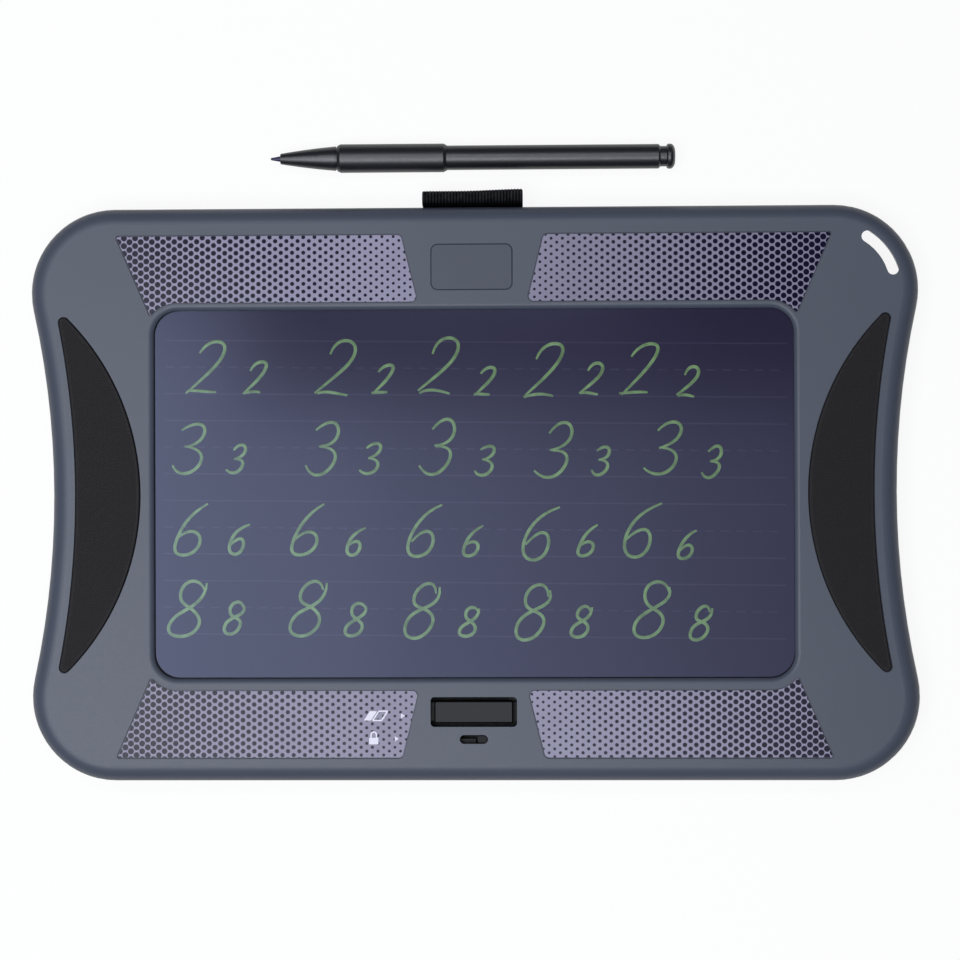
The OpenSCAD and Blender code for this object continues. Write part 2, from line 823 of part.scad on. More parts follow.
// Ribs that carry the stiffener
module rear_ribs() {
    long = screen_w / 2 - rib_end;
    high = screen_h / 2 - rib_end;
    for (y = [-rib_pitch, 0, rib_pitch])
        box([-long, y - rib_t / 2, floor_t], [long, y + rib_t / 2, stiffener_under]);
    for (i = [-2 : 2])
        box([i * rib_pitch - rib_t / 2, -high, floor_t],
            [i * rib_pitch + rib_t / 2, high, stiffener_under]);
}

// Recess for the battery door, the cell's bore and the slots for the hooks
module door_cut() {
    translate([0, (door_y0 + door_y1) / 2, 0])
        plate(door_w + 2 * door_gap, door_y1 - door_y0 + 2 * door_gap, door_r + door_gap, -past, door_t);
    post([0, cell_y], cell_d + 2 * run_gap, -past, cell_top + past);
    for (side = [-1, 1])
        translate([side * door_w / 4, door_y0, 0])
            box([-hook_w / 2 - door_gap, -door_gap, door_t - past],
                [hook_w / 2 + door_gap, hook_t + run_gap, hook_under + hook_t + run_gap]);
    box([cell_d / 2 - past, cell_y - contact_w / 2 - run_gap, floor_t],
        [cell_d / 2 + ring_wall + past, cell_y + contact_w / 2 + run_gap, cell_top]);
}

module rear_cover() {
    color(body_grey)
        difference() {
            union() {
                difference() {
                    union() {
                        bow_sweep()
                            rear_profile();
                        bow_core(0, rear_h + tongue_h);
                    }
                    bow_body(rear_wall, floor_t, rear_h + tongue_h + past);
                }
                rear_ribs();
                lanyard_block(floor_t - weld, rear_h);
                for (p = housing_spots)
                    post(p, boss_d, floor_t - weld, rear_h);
                post([0, cell_y], cell_d + 2 * run_gap + 2 * ring_wall,
                    floor_t - weld, cell_top - cell_step);
                post([0, door_screw_y], small_boss_d, floor_t - weld, floor_t + door_boss_h);
            }
            lanyard_ring(corner_r - rear_wall - past / 2, corner_r - wall_t,
                lanyard_from - lanyard_wrap - lanyard_spare, lanyard_to + lanyard_wrap + lanyard_spare,
                rear_h, rear_h + tongue_h + past);
            lanyard_cut();
            loop_cut(rear_h - tape_t - run_gap, rear_h + tongue_h + past);
            door_cut();
            post([0, door_screw_y], small_screw_d + 2 * push_gap,
                0, floor_t + door_boss_h - bore_spare / 2);
            for (p = housing_spots) {
                post(p, screw_d + 2 * hole_gap, 0, rear_h + past);
                post(p, screw_head_d + 2 * hole_gap, -past, screw_sink);
            }
        }
}

// Screw with a pan head and a cross recess, head down, its seat at height z
module screw(at, z, d, len, head_d, head_h) {
    cross = [cross_len * head_d, cross_w * head_d, head_h];
    difference() {
        union() {
            post(at, d, z, z + len);
            post(at, head_d, z - head_h, z);
        }
        for (turn = [0, 90])
            translate([at[0], at[1], z - head_h])
                rotate(turn)
                    cube(cross, center = true);
    }
}

module housing_screws() {
    color(steel)
        for (p = housing_spots)
            screw(p, screw_sink, screw_d, rear_h - screw_sink + screw_grip, screw_head_d, screw_head_h);
}

module battery_door() {
    color(body_grey)
        difference() {
            union() {
                translate([0, (door_y0 + door_y1) / 2, 0])
                    plate(door_w, door_y1 - door_y0, door_r, 0, door_t);
                for (side = [-1, 1])
                    translate([side * door_w / 4, door_y0, 0]) {
                        box([-hook_w / 2, 0, door_t - weld], [hook_w / 2, hook_t, hook_under + hook_t]);
                        box([-hook_w / 2, -hook_t, hook_under], [hook_w / 2, 0, hook_under + hook_t]);
                    }
            }
            post([0, door_screw_y], small_screw_d + 2 * hole_gap, -past, door_t + past);
            post([0, door_screw_y], small_head_d + 2 * hole_gap, -past, door_sink);
        }
}

module battery_door_screw() {
    color(steel)
        screw([0, door_screw_y], door_sink, small_screw_d, floor_t + door_boss_h - bore_spare - door_sink,
            small_head_d, door_sink - rest_gap);
}

module writing_film() {
    color(film_blue)
        plate(film_w, film_h, film_r, film_under, film_top);
}

module film_gasket() {
    color(part_black)
        difference() {
            plate(screen_w + 2 * gasket_w, screen_h + 2 * gasket_w, screen_r + gasket_w,
                film_top, lip_under);
            plate(screen_w + 2 * run_gap, screen_h + 2 * run_gap, screen_r + run_gap,
                film_top - past, lip_under + past);
        }
}

module film_stiffener() {
    color(part_black)
        plate(film_w, film_h, film_r, stiffener_under, film_under);
}

// Sheet strip along a line of points, drawn in the YZ plane and w wide in X
module strip(x, w, line) {
    translate([x - w / 2, 0, 0])
        rotate([90, 0, 90])
            linear_extrude(w)
                polygon(line);
}

module flex_tail() {
    color(brass)
        strip(flex_x, flex_w, [
            [-film_h / 2, flex_z],
            [-film_h / 2, flex_z + flex_t],
            [flex_bend_y - flex_t, flex_z + flex_t],
            [flex_bend_y - flex_t, slot_z + flex_t],
            [flex_end_y, slot_z + flex_t],
            [flex_end_y, slot_z],
            [flex_bend_y, slot_z],
            [flex_bend_y, flex_z]
        ]);
}

module flex_connector() {
    color(part_black)
        difference() {
            box([flex_x - flex_w / 2 - connector_side, connector_y - connector_d, board_top],
                [flex_x + flex_w / 2 + connector_side, connector_y, board_top + connector_h]);
            box([flex_x - flex_w / 2 - rest_gap, flex_end_y - rest_gap, slot_z - rest_gap],
                [flex_x + flex_w / 2 + rest_gap, connector_y + past, slot_z + flex_t + rest_gap]);
        }
}

module circuit_board() {
    color(board_black)
        difference() {
            box([-board_w / 2, board_y0, board_under], [board_w / 2, board_y1, board_top]);
            for (p = board_spots)
                post(p, small_screw_d + 2 * hole_gap, board_under - past, board_top + past);
        }
}

module board_screws() {
    color(steel)
        for (p = board_spots)
            screw(p, board_under, small_screw_d, face_under - bore_spare - board_under,
                small_head_d, small_head_h);
}

module driver_chip() {
    color(part_black)
        translate([-board_w / 4 - chip[0] / 2, board_mid + chip[1] / 2, board_top])
            cube(chip);
}

module boost_inductor() {
    color(part_black)
        post([-board_w / 4, board_mid - inductor_d], inductor_d, board_top, board_top + inductor_h);
}

module board_capacitors() {
    color(brass)
        for (i = [0 : 2])
            translate([board_w / 4 + 2 * i * capacitor[0], board_mid - 2 * capacitor[1], board_top])
                cube(capacitor);
}

module switch_body() {
    color(part_black)
        difference() {
            translate([0, button_y, 0])
                box([-switch_w / 2, -switch_w / 2, board_top], [switch_w / 2, switch_w / 2, switch_top]);
            post([0, button_y], plunger_d + 2 * run_gap,
                plunger_under - button_travel - rest_gap, switch_top + past);
        }
}

module switch_plunger() {
    color(key_grey)
        post([0, button_y], plunger_d, plunger_under, plunger_top);
}

// Hollow cap with a chamfered top, end stops under the face and a post on the plunger
module erase_button() {
    cap_top = body_t + button_proud;
    cap_roof = cap_top - button_roof;
    color(key_grey)
        translate([0, button_y, 0]) {
            difference() {
                flared_plate(button_w, button_h, button_r, stop_under, cap_top - button_chamfer, cap_top,
                    -button_chamfer);
                box([button_wall - button_w / 2, button_wall - button_h / 2, stop_under - past],
                    [button_w / 2 - button_wall, button_h / 2 - button_wall, cap_roof]);
            }
            for (side = [0, 1])
                mirror([side, 0, 0])
                    box([button_w / 2 - weld, -button_h / 2 + button_r, stop_under],
                        [button_w / 2 + button_stop, button_h / 2 - button_r, stop_top]);
            post([0, 0], plunger_d + button_roof / 2, plunger_top, cap_roof + weld);
        }
}

// Plate under the face, open beside the nub, a wedge-shaped nub in the slot and a foot for the wiper
module lock_slider() {
    plate_top = face_under - rest_gap;
    plate_under = plate_top - lock_plate_t;
    plate_x0 = -lock_w / 2 - lock_cover;
    plate_x1 = lock_w / 2 + lock_cover + lock_travel;
    half = lock_h / 2 + lock_cover;
    nub_half = lock_h / 2 - nub_gap;
    color(key_grey)
        translate([0, lock_y, 0]) {
            difference() {
                box([plate_x0, -half, plate_under], [plate_x1, half, plate_top]);
                box([-lock_w / 2, 0, plate_under - past], [nub_left, lock_h / 2, plate_top + past]);
                box([nub_left - nub_sight, -lock_h / 2, plate_under - past],
                    [nub_left, weld, plate_top + past]);
            }
            translate([0, nub_half, 0])
                rotate([90, 0, 0])
                    linear_extrude(2 * nub_half)
                        polygon([
                            [nub_left, plate_top - weld],
                            [nub_right, plate_top - weld],
                            [nub_right, body_t],
                            [nub_left, body_t - nub_fall]
                        ]);
            box([nub_left, -wiper_w / 2, wiper_top], [nub_right, wiper_w / 2, plate_under + weld]);
        }
}

// Sprung contact, bent to a shallow V, whose heel rubs on the board
module lock_wiper() {
    mid = (nub_left + nub_right) / 2;
    color(brass)
        translate([0, lock_y + wiper_w / 2, 0])
            rotate([90, 0, 0])
                linear_extrude(wiper_w)
                    polygon([
                        [nub_right, wiper_top],
                        [nub_left, wiper_top],
                        [nub_left, wiper_top - contact_t],
                        [nub_right - 2 * contact_t, wiper_top - contact_t],
                        [mid - contact_t, board_top + rest_gap],
                        [mid + contact_t, board_top + rest_gap],
                        [nub_right, wiper_top - contact_t]
                    ]);
}

// Cell with its smaller negative face towards the board
module coin_cell() {
    color(steel) {
        post([0, cell_y], cell_d, cell_under, cell_top - cell_step);
        post([0, cell_y], cell_d - 2 * cell_rim, cell_top - cell_step, cell_top);
    }
}

module contact_positive() {
    side = cell_d / 2 + rest_gap;
    color(brass)
        translate([0, cell_y, 0]) {
            box([side, -contact_w / 2, floor_t + run_gap],
                [side + contact_t, contact_w / 2, board_under]);
            box([side, -contact_w / 2, board_under - contact_t],
                [side + contact_w, contact_w / 2, board_under]);
        }
}

// Leaf that leaves the board and lies on the cell's smaller face
module contact_negative() {
    lies = cell_top + rest_gap;
    color(brass)
        translate([0, cell_y + contact_w / 2, 0])
            rotate([90, 0, 0])
                linear_extrude(contact_w)
                    polygon([
                        [-2 * contact_w, board_under],
                        [-2 * contact_w, board_under - contact_t],
                        [-contact_w, board_under - contact_t],
                        [0, lies],
                        [contact_w, lies],
                        [contact_w, lies + contact_t],
                        [contact_t, lies + contact_t],
                        [contact_t - contact_w, board_under]
                    ]);
}

// Edge section of a grip pad: X outwards from the line through the tips' centres
module grip_profile(from, to) {
    z0 = body_t - grip_depth;
    z1 = body_t + grip_proud;
    translate([from, z0])
        square([to - from, z1 - z0 - grip_edge_r]);
    translate([from, z1 - grip_edge_r])
        square([to - grip_edge_r - from, grip_edge_r]);
    translate([to - grip_edge_r, z1 - grip_edge_r])
        quarter_disc(grip_edge_r);
}

// Pad with a rounded edge, built from the arcs of its outline
module grip_pad() {
    inward = grip_tip_r / 4;
    color(pad_black) {
        for (my = [0, 1])
            mirror([0, my, 0])
                translate([tip_x, tip_y, 0])
                    rotate_extrude()
                        grip_profile(0, grip_tip_r - hair);
        translate([side_x, 0, 0])
            rotate_extrude(angle = 2 * tip_out, start = 180 - tip_out)
                translate([grip_d_out, 0])
                    mirror([1, 0])
                        grip_profile(-inward, grip_tip_r);
        translate([grip_x, 0, 0])
            rotate_extrude(angle = 360 - 2 * tip_in, start = tip_in)
                translate([grip_d_in, 0])
                    grip_profile(-inward, grip_tip_r);
        translate([0, 0, body_t - grip_depth])
            linear_extrude(grip_depth + grip_proud)
                difference() {
                    translate([grip_x, 0])
                        circle(grip_d_in - inward / 2);
                    translate([side_x, 0])
                        circle(grip_d_out + inward / 2);
                }
    }
}

module right_grip() {
    grip_pad();
}

module left_grip() {
    mirror([1, 0, 0])
        grip_pad();
}

// One inlay, mirrored to the side that is asked for
module inlay(left, bottom) {
    color(inlay_lilac)
        translate([0, -inlay_drop, body_t - inlay_depth])
            mirror([left, 0, 0])
                mirror([0, bottom, 0])
                    linear_extrude(inlay_t)
                        offset(delta = -inlay_gap)
                            inlay_outline();
}

module inlay_top_right() {
    inlay(0, 0);
}

module inlay_top_left() {
    inlay(1, 0);
}

module inlay_bottom_right() {
    inlay(0, 1);
}

module inlay_bottom_left() {
    inlay(1, 1);
}

// Closed D with larger radii on its far side, standing on X = 0
module loop_shape(reach, rise, back_r, front_r) {
    half = rise / 2;
    for (my = [0, 1])
        mirror([0, my]) {
            translate([reach - front_r, half - front_r])
                quarter_disc(front_r);
            translate([back_r, half - back_r])
                mirror([1, 0])
                    quarter_disc(back_r);
        }
    translate([back_r, -half])
        square([reach - back_r - front_r, rise]);
    translate([0, back_r - half])
        square([back_r, rise - 2 * back_r]);
    translate([reach - front_r, front_r - half])
        square([front_r, rise - 2 * front_r]);
}

// Elastic tape: a standing loop, two tails through the slot and a hem round the rod
module stylus_loop() {
    reach = loop_reach - lay_gap;
    color(tape_black)
        translate([-loop_w / 2, 0, rear_h])
            rotate([90, 0, 90])
                linear_extrude(loop_w)
                    difference() {
                        union() {
                            translate([loop_y, 0])
                                loop_shape(reach, loop_rise, loop_back_r, loop_front_r);
                            translate([hem_y, -tape_t])
                                square([loop_y - hem_y + tape_t, 2 * tape_t]);
                            translate([hem_y, 0])
                                circle(hem_r);
                        }
                        translate([loop_y + tape_t, 0])
                            loop_shape(reach - 2 * tape_t, loop_rise - 2 * tape_t,
                                loop_back_r - tape_t, loop_front_r - tape_t);
                        translate([hem_y, 0])
                            circle(hem_r - tape_t);
                    }
}

module loop_anchor() {
    color(steel)
        translate([-loop_w / 2 - anchor_over, hem_y, rear_h])
            rotate([0, 90, 0])
                cylinder(d = anchor_d, h = loop_w + 2 * anchor_over);
}

// Turns a section about the stylus axis: X is the radius, Y the distance from the tip
module turned() {
    translate([stylus_shift - stylus_len / 2, body_h / 2 + stylus_gap, sleeve_d / 2])
        rotate([0, 90, 0])
            rotate_extrude()
                children();
}

module stylus_nib() {
    color(pen_black)
        turned()
            polygon(concat(
                arc([0, nib_tip_r], nib_tip_r, -90, -10, 6),
                [
                    [nib_d / 2, nib_len],
                    [nib_shank_d / 2, nib_len],
                    [nib_shank_d / 2, nib_len + nib_shank],
                    [0, nib_len + nib_shank]
                ]
            ));
}

module stylus_cone() {
    front = [cone_tip_d / 2, cone_from];
    rear = [cone_d / 2, cone_to];
    chord = rear - front;
    normal = unit([-chord[1], chord[0]]);
    centre = (front + rear) / 2 + normal * sqrt(pow(cone_side_r, 2) - pow(norm(chord) / 2, 2));
    color(pen_black)
        turned()
            difference() {
                polygon(concat(
                    [[0, cone_from]],
                    arc(centre, cone_side_r, direction(front - centre), direction(rear - centre), 12),
                    [
                        rear,
                        [cone_d / 2 - cone_neck, cone_to],
                        [cone_d / 2 - cone_neck, barrel_from],
                        [barrel_bore / 2 - push_gap, barrel_from],
                        [barrel_bore / 2 - push_gap, barrel_from + spigot_len],
                        [0, barrel_from + spigot_len]
                    ]
                ));
                translate([0, cone_from - past])
                    square([nib_shank_d / 2 + push_gap, nib_shank + past + lay_gap]);
            }
}

module stylus_sleeve() {
    bore = barrel_d / 2 + push_gap;
    outer = sleeve_d / 2;
    color(pen_black)
        turned()
            polygon([
                [bore, barrel_from],
                [outer - sleeve_chamfer, barrel_from],
                [outer, barrel_from + sleeve_taper],
                [outer, sleeve_to - sleeve_taper],
                [outer - sleeve_chamfer, sleeve_to],
                [bore, sleeve_to]
            ]);
}

module stylus_barrel() {
    color(pen_black)
        turned()
            polygon([
                [barrel_bore / 2, barrel_from],
                [barrel_d / 2, barrel_from],
                [barrel_d / 2, barrel_to - barrel_chamfer],
                [barrel_d / 2 - barrel_chamfer, barrel_to],
                [barrel_bore / 2, barrel_to]
            ]);
}

module stylus_plug() {
    outer = bead_d / 2;
    spigot = barrel_bore / 2 - push_gap;
    color(pen_black)
        turned()
            polygon(concat(
                [
                    [0, barrel_to - spigot_len],
                    [spigot, barrel_to - spigot_len],
                    [spigot, barrel_to],
                    [neck_d / 2, barrel_to],
                    [neck_d / 2, bead_from]
                ],
                arc([outer - bead_r, bead_from + bead_r], bead_r, -90, 0, 4),
                [
                    for (a = [0 : 15 : 90])
                        [outer - dome_r * (1 - cos(a)), stylus_len - dome_len * (1 - sin(a))]
                ],
                [[0, stylus_len]]
            ));
}

front_bezel();
rear_cover();
housing_screws();
battery_door();
battery_door_screw();
writing_film();
film_gasket();
film_stiffener();
flex_tail();
flex_connector();
circuit_board();
board_screws();
driver_chip();
boost_inductor();
board_capacitors();
switch_body();
switch_plunger();
erase_button();
lock_slider();
lock_wiper();
coin_cell();
contact_positive();
contact_negative();
left_grip();
right_grip();
inlay_top_left();
inlay_top_right();
inlay_bottom_left();
inlay_bottom_right();
stylus_loop();
loop_anchor();
stylus_nib();
stylus_cone();
stylus_sleeve();
stylus_barrel();
stylus_plug();
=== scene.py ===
import math

import bpy
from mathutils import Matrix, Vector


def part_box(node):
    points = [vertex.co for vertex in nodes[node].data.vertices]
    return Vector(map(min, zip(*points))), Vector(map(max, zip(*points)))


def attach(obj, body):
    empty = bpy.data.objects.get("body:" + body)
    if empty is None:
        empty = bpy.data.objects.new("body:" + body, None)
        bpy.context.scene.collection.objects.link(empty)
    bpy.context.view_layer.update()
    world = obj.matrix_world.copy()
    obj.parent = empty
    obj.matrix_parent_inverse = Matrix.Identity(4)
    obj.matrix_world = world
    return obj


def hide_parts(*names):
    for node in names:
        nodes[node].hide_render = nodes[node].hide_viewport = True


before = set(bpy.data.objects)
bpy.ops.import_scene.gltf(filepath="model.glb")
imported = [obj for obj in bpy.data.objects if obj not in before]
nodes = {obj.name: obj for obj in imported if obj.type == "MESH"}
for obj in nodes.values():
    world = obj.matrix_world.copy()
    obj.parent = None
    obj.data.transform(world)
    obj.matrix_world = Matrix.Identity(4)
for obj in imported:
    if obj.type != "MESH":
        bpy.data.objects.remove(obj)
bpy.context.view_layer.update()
mm = 0.001
print("frame loaded:", len(nodes), "nodes")


# camera where the photograph was taken from, almost straight above
view = {"spot": (0.02120, 0.00101, 0.70000), "turn": (0.242, 1.599, -0.209), "lens": 88.38, "sensor": 36,
        "reach": 90}

bpy.ops.object.select_all(action="DESELECT")
bpy.ops.object.camera_add(location=view["spot"], rotation=[math.radians(a) for a in view["turn"]])
camera = bpy.context.object
camera.data.lens = view["lens"]
camera.data.sensor_width = view["sensor"]
camera.data.clip_end = view["reach"]
bpy.context.scene.camera = camera
print("camera set")


# helpers for node trees
def linear(colour):
    return tuple(c / 12.92 if c <= 0.04045 else ((c + 0.055) / 1.055) ** 2.4 for c in colour)


def paint(red, green, blue):
    return linear((red / 255, green / 255, blue / 255)) + (1,)


def tinted(colour, factor):
    return tuple(min(1.0, c * factor) for c in colour[:3]) + (1,)


def feed(tree, socket, value):
    if isinstance(value, bpy.types.NodeSocket):
        tree.links.new(value, socket)
    else:
        socket.default_value = value


def addNode(tree, kind, inputs=None, **settings):
    node = tree.nodes.new(kind)
    for key, value in settings.items():
        setattr(node, key, value)
    for key, value in (inputs or {}).items():
        feed(tree, node.inputs[key], value)
    return node


def calc(tree, operation, *values):
    return addNode(tree, "ShaderNodeMath", dict(enumerate(values)), operation=operation).outputs[0]


def noise(tree, place, grain, detail=2.0, rough=0.5):
    inputs = {"Vector": place, "Scale": 1 / grain, "Detail": detail, "Roughness": rough}
    return addNode(tree, "ShaderNodeTexNoise", inputs).outputs[0]


def fineNoise(tree, place, grain, detail=3.0):
    return noise(tree, place, grain, detail, 0.6)


def span(tree, value, low, high, start=0.3, end=0.7):
    inputs = {"Value": value, "From Min": start, "From Max": end, "To Min": low, "To Max": high}
    return addNode(tree, "ShaderNodeMapRange", inputs).outputs[0]


def axis(tree, vector, number):
    return addNode(tree, "ShaderNodeSeparateXYZ", {"Vector": vector}).outputs[number]


def blendColours(tree, factor, first, second):
    # sockets 6 and 7 and output 2 are the colours of a Mix node
    return addNode(tree, "ShaderNodeMix", {0: factor, 6: first, 7: second}, data_type="RGBA").outputs[2]


def mottled(tree, place, patch, first, second):
    return blendColours(tree, span(tree, noise(tree, place, patch), 0, 1), first, second)


def raised(tree, height, depth, normal=None):
    inputs = {"Height": height, "Distance": depth, "Strength": 1.0}
    if normal is not None:
        inputs["Normal"] = normal
    return addNode(tree, "ShaderNodeBump", inputs).outputs[0]


def emptyFinish(name):
    finish = bpy.data.materials.new(name)
    finish.use_nodes = True
    finish.node_tree.nodes.clear()
    return finish, finish.node_tree


def newFinish(name):
    finish, tree = emptyFinish(name)
    shader = tree.nodes.new("ShaderNodeBsdfPrincipled")
    addNode(tree, "ShaderNodeOutputMaterial", {"Surface": shader.outputs["BSDF"]})
    place = tree.nodes.new("ShaderNodeTexCoord").outputs["Object"]
    return finish, tree, shader, place


def shade(tree, shader, **inputs):
    names = {"colour": "Base Color", "rough": "Roughness", "metal": "Metallic", "normal": "Normal",
             "shine": "Specular IOR Level", "shineTint": "Specular Tint"}
    for key, value in inputs.items():
        feed(tree, shader.inputs[names[key]], value)


# stage: pale floor, weak world light, a row of soft panels fading to the right, one nearer and a strip
# behind the stylus; each panel is (left, right, near, far) in metres at one height, with its brightness
stage = {"floorSize": 80.0, "drop": 0.4 * mm, "bounceTone": (0.3, 0.3, 0.3, 1), "seenTone": (1, 1, 1, 1),
         "seenWhite": 0.9, "worldTone": (0.95, 0.97, 1.0, 1), "worldLevel": 0.05, "lampHeight": 1.0,
         "lamps": {"left": ((-0.55, -0.3, -0.3, 0.2), 5.8), "main": ((-0.3, -0.2, -0.24, 0.15), 4.3),
                   "second": ((-0.2, -0.1, -0.24, 0.065), 4.0), "third": ((-0.1, 0.0, -0.24, 0.065), 2.9),
                   "fourth": ((0.0, 0.1, -0.24, 0.065), 2.2), "fifth": ((0.1, 0.2, -0.24, 0.065), 1.5),
                   "sixth": ((0.2, 0.34, -0.24, 0.065), 1.1), "glow": ((-0.12, 0.08, 0.145, 0.24), 2.0),
                   "near": ((-0.68, 0.2, -0.54, -0.24), 6.3), "strip": ((-0.6, 0.4, 0.33, 0.44), 7.6)},
         "lampTone": (0.95, 0.98, 1.05)}


def buildFloor():
    # white where it is seen directly, in gloss or through glass, darker as a bounce, with the object's shadow
    bpy.ops.mesh.primitive_plane_add(size=stage["floorSize"], location=(0, 0, -stage["drop"]))
    floor = bpy.context.object
    floor.name = "paleFloor"
    finish, tree = emptyFinish("floorPaper")
    path = tree.nodes.new("ShaderNodeLightPath").outputs
    straight = path["Is Camera Ray"]
    seen = calc(tree, "MAXIMUM", straight, path["Is Glossy Ray"])
    seen = calc(tree, "MAXIMUM", seen, path["Is Transmission Ray"])
    tone = blendColours(tree, straight, stage["bounceTone"], stage["seenTone"])
    paper = addNode(tree, "ShaderNodeBsdfDiffuse", {"Color": tone}).outputs[0]
    white = addNode(tree, "ShaderNodeEmission", {"Color": stage["seenTone"], "Strength": 1.0}).outputs[0]
    share = calc(tree, "MULTIPLY", seen, stage["seenWhite"])
    mixed = addNode(tree, "ShaderNodeMixShader", {0: share, 1: paper, 2: white}).outputs[0]
    addNode(tree, "ShaderNodeOutputMaterial", {"Surface": mixed})
    floor.data.materials.append(finish)


def lightRoom():
    world = bpy.data.worlds.new("paleRoom")
    bpy.context.scene.world = world
    world.use_nodes = True
    backdrop = world.node_tree.nodes["Background"]
    backdrop.inputs["Color"].default_value = stage["worldTone"]
    backdrop.inputs["Strength"].default_value = stage["worldLevel"]
    for name, ((left, right, near, far), bright) in stage["lamps"].items():
        spot = ((left + right) / 2, (near + far) / 2, stage["lampHeight"])
        bpy.ops.object.light_add(type="AREA", location=spot)
        light = bpy.context.object
        light.name = name + "Lamp"
        light.data.shape = "RECTANGLE"
        light.data.size, light.data.size_y = right - left, far - near
        light.data.energy = bright * math.pi * (right - left) * (far - near)
        light.data.color = stage["lampTone"]
    bpy.context.scene.view_settings.view_transform = "Standard"


buildFloor()
lightRoom()
print("stage lit")


# finishes: grain and patch are the sizes of fine and broad noise, bump its depth, drift a share of the colour
plastic = {"patch": 30 * mm, "uneven": 0.07}
metal = {"dark": 0.85, "smoother": 0.08, "duller": 0.1, "bump": 0.004 * mm}
# keys: top is their grey, edge is painted shade on their chamfers, sides and all below the crown
keyLook = {"top": paint(40, 40, 43), "edge": paint(3, 3, 6), "drift": 0.04, "patch": 20 * mm, "grain": 0.3 * mm,
           "bump": 0.01 * mm, "rough": (0.43, 0.57), "shine": 0.2, "steep": 0.8, "level": 0.9,
           "foot": 12.2 * mm, "crown": 12.6 * mm}
gripLook = {"colour": paint(27, 25, 28), "ground": 0.8, "worn": 1.3, "leastWear": 0.8, "grain": 0.25 * mm,
            "bump": 0.02 * mm, "rough": (0.6, 0.76), "shine": 0.33, "foot": 14.5 * mm, "tip": 14.62 * mm}
filmLook = {"grain": 0.4 * mm, "bump": 0.002 * mm, "rough": (0.14, 0.18), "shine": 0.43,
            "tint": (0.62, 0.72, 1.0, 1)}
dots = {"columns": 1.644 * mm, "pitch": 2.271 * mm, "firstRow": 75.42 * mm, "drop": 0.65 * mm,
        "largeDot": 1.82 * mm, "smallDot": 0.78 * mm, "innerEnd": 16 * mm, "outerEnd": 104 * mm,
        "edge": 0.06 * mm, "ground": paint(148, 144, 167), "groundDrift": 0.93, "dot": paint(6, 3, 34),
        "dotDrift": 1.35, "patch": 12 * mm, "grain": 0.3 * mm, "bump": 0.008 * mm, "rough": (0.15, 0.2),
        "shine": 0.22}


def mouldedPlastic(name, colour, rough, grain, bump, drift=0.05, shine=0.5):
    finish, tree, shader, place = newFinish(name)
    fine = fineNoise(tree, place, grain)
    tone = mottled(tree, place, plastic["patch"], tinted(colour, 1 - drift), tinted(colour, 1 + drift))
    shade(tree, shader, colour=tone, rough=span(tree, fine, rough - plastic["uneven"], rough + plastic["uneven"]),
          shine=shine, normal=raised(tree, fine, bump))
    return finish


def keyPlasticPaintedShade(name, look):
    # only the flat tops of the keys keep their grey; their chamfers, sides and all below the crown are painted
    # black as painted shade
    finish, tree, shader, place = newFinish(name)
    upward = axis(tree, tree.nodes.new("ShaderNodeNewGeometry").outputs["Normal"], 2)
    level = span(tree, upward, 0, 1, look["steep"], look["level"])
    high = span(tree, axis(tree, place, 2), 0, 1, look["foot"], look["crown"])
    fine = fineNoise(tree, place, look["grain"])
    top = mottled(tree, place, look["patch"], tinted(look["top"], 1 - look["drift"]),
                  tinted(look["top"], 1 + look["drift"]))
    # painted shade: black wherever the surface is not a flat top at crown height
    tone = blendColours(tree, calc(tree, "MULTIPLY", level, high), look["edge"], top)
    shade(tree, shader, colour=tone, rough=span(tree, fine, *look["rough"]), shine=look["shine"],
          normal=raised(tree, fine, look["bump"]))
    return finish


def knurledRubber(name, look):
    # the tips of the studs are rubbed a little paler than the ground between them
    finish, tree, shader, place = newFinish(name)
    fine = fineNoise(tree, place, look["grain"])
    high = span(tree, axis(tree, place, 2), 0, 1, look["foot"], look["tip"])
    rubbed = calc(tree, "MULTIPLY", high, span(tree, fine, look["leastWear"], 1))
    tone = blendColours(tree, rubbed, tinted(look["colour"], look["ground"]), tinted(look["colour"], look["worn"]))
    shade(tree, shader, colour=tone, rough=span(tree, fine, *look["rough"]), shine=look["shine"],
          normal=raised(tree, fine, look["bump"]))
    return finish


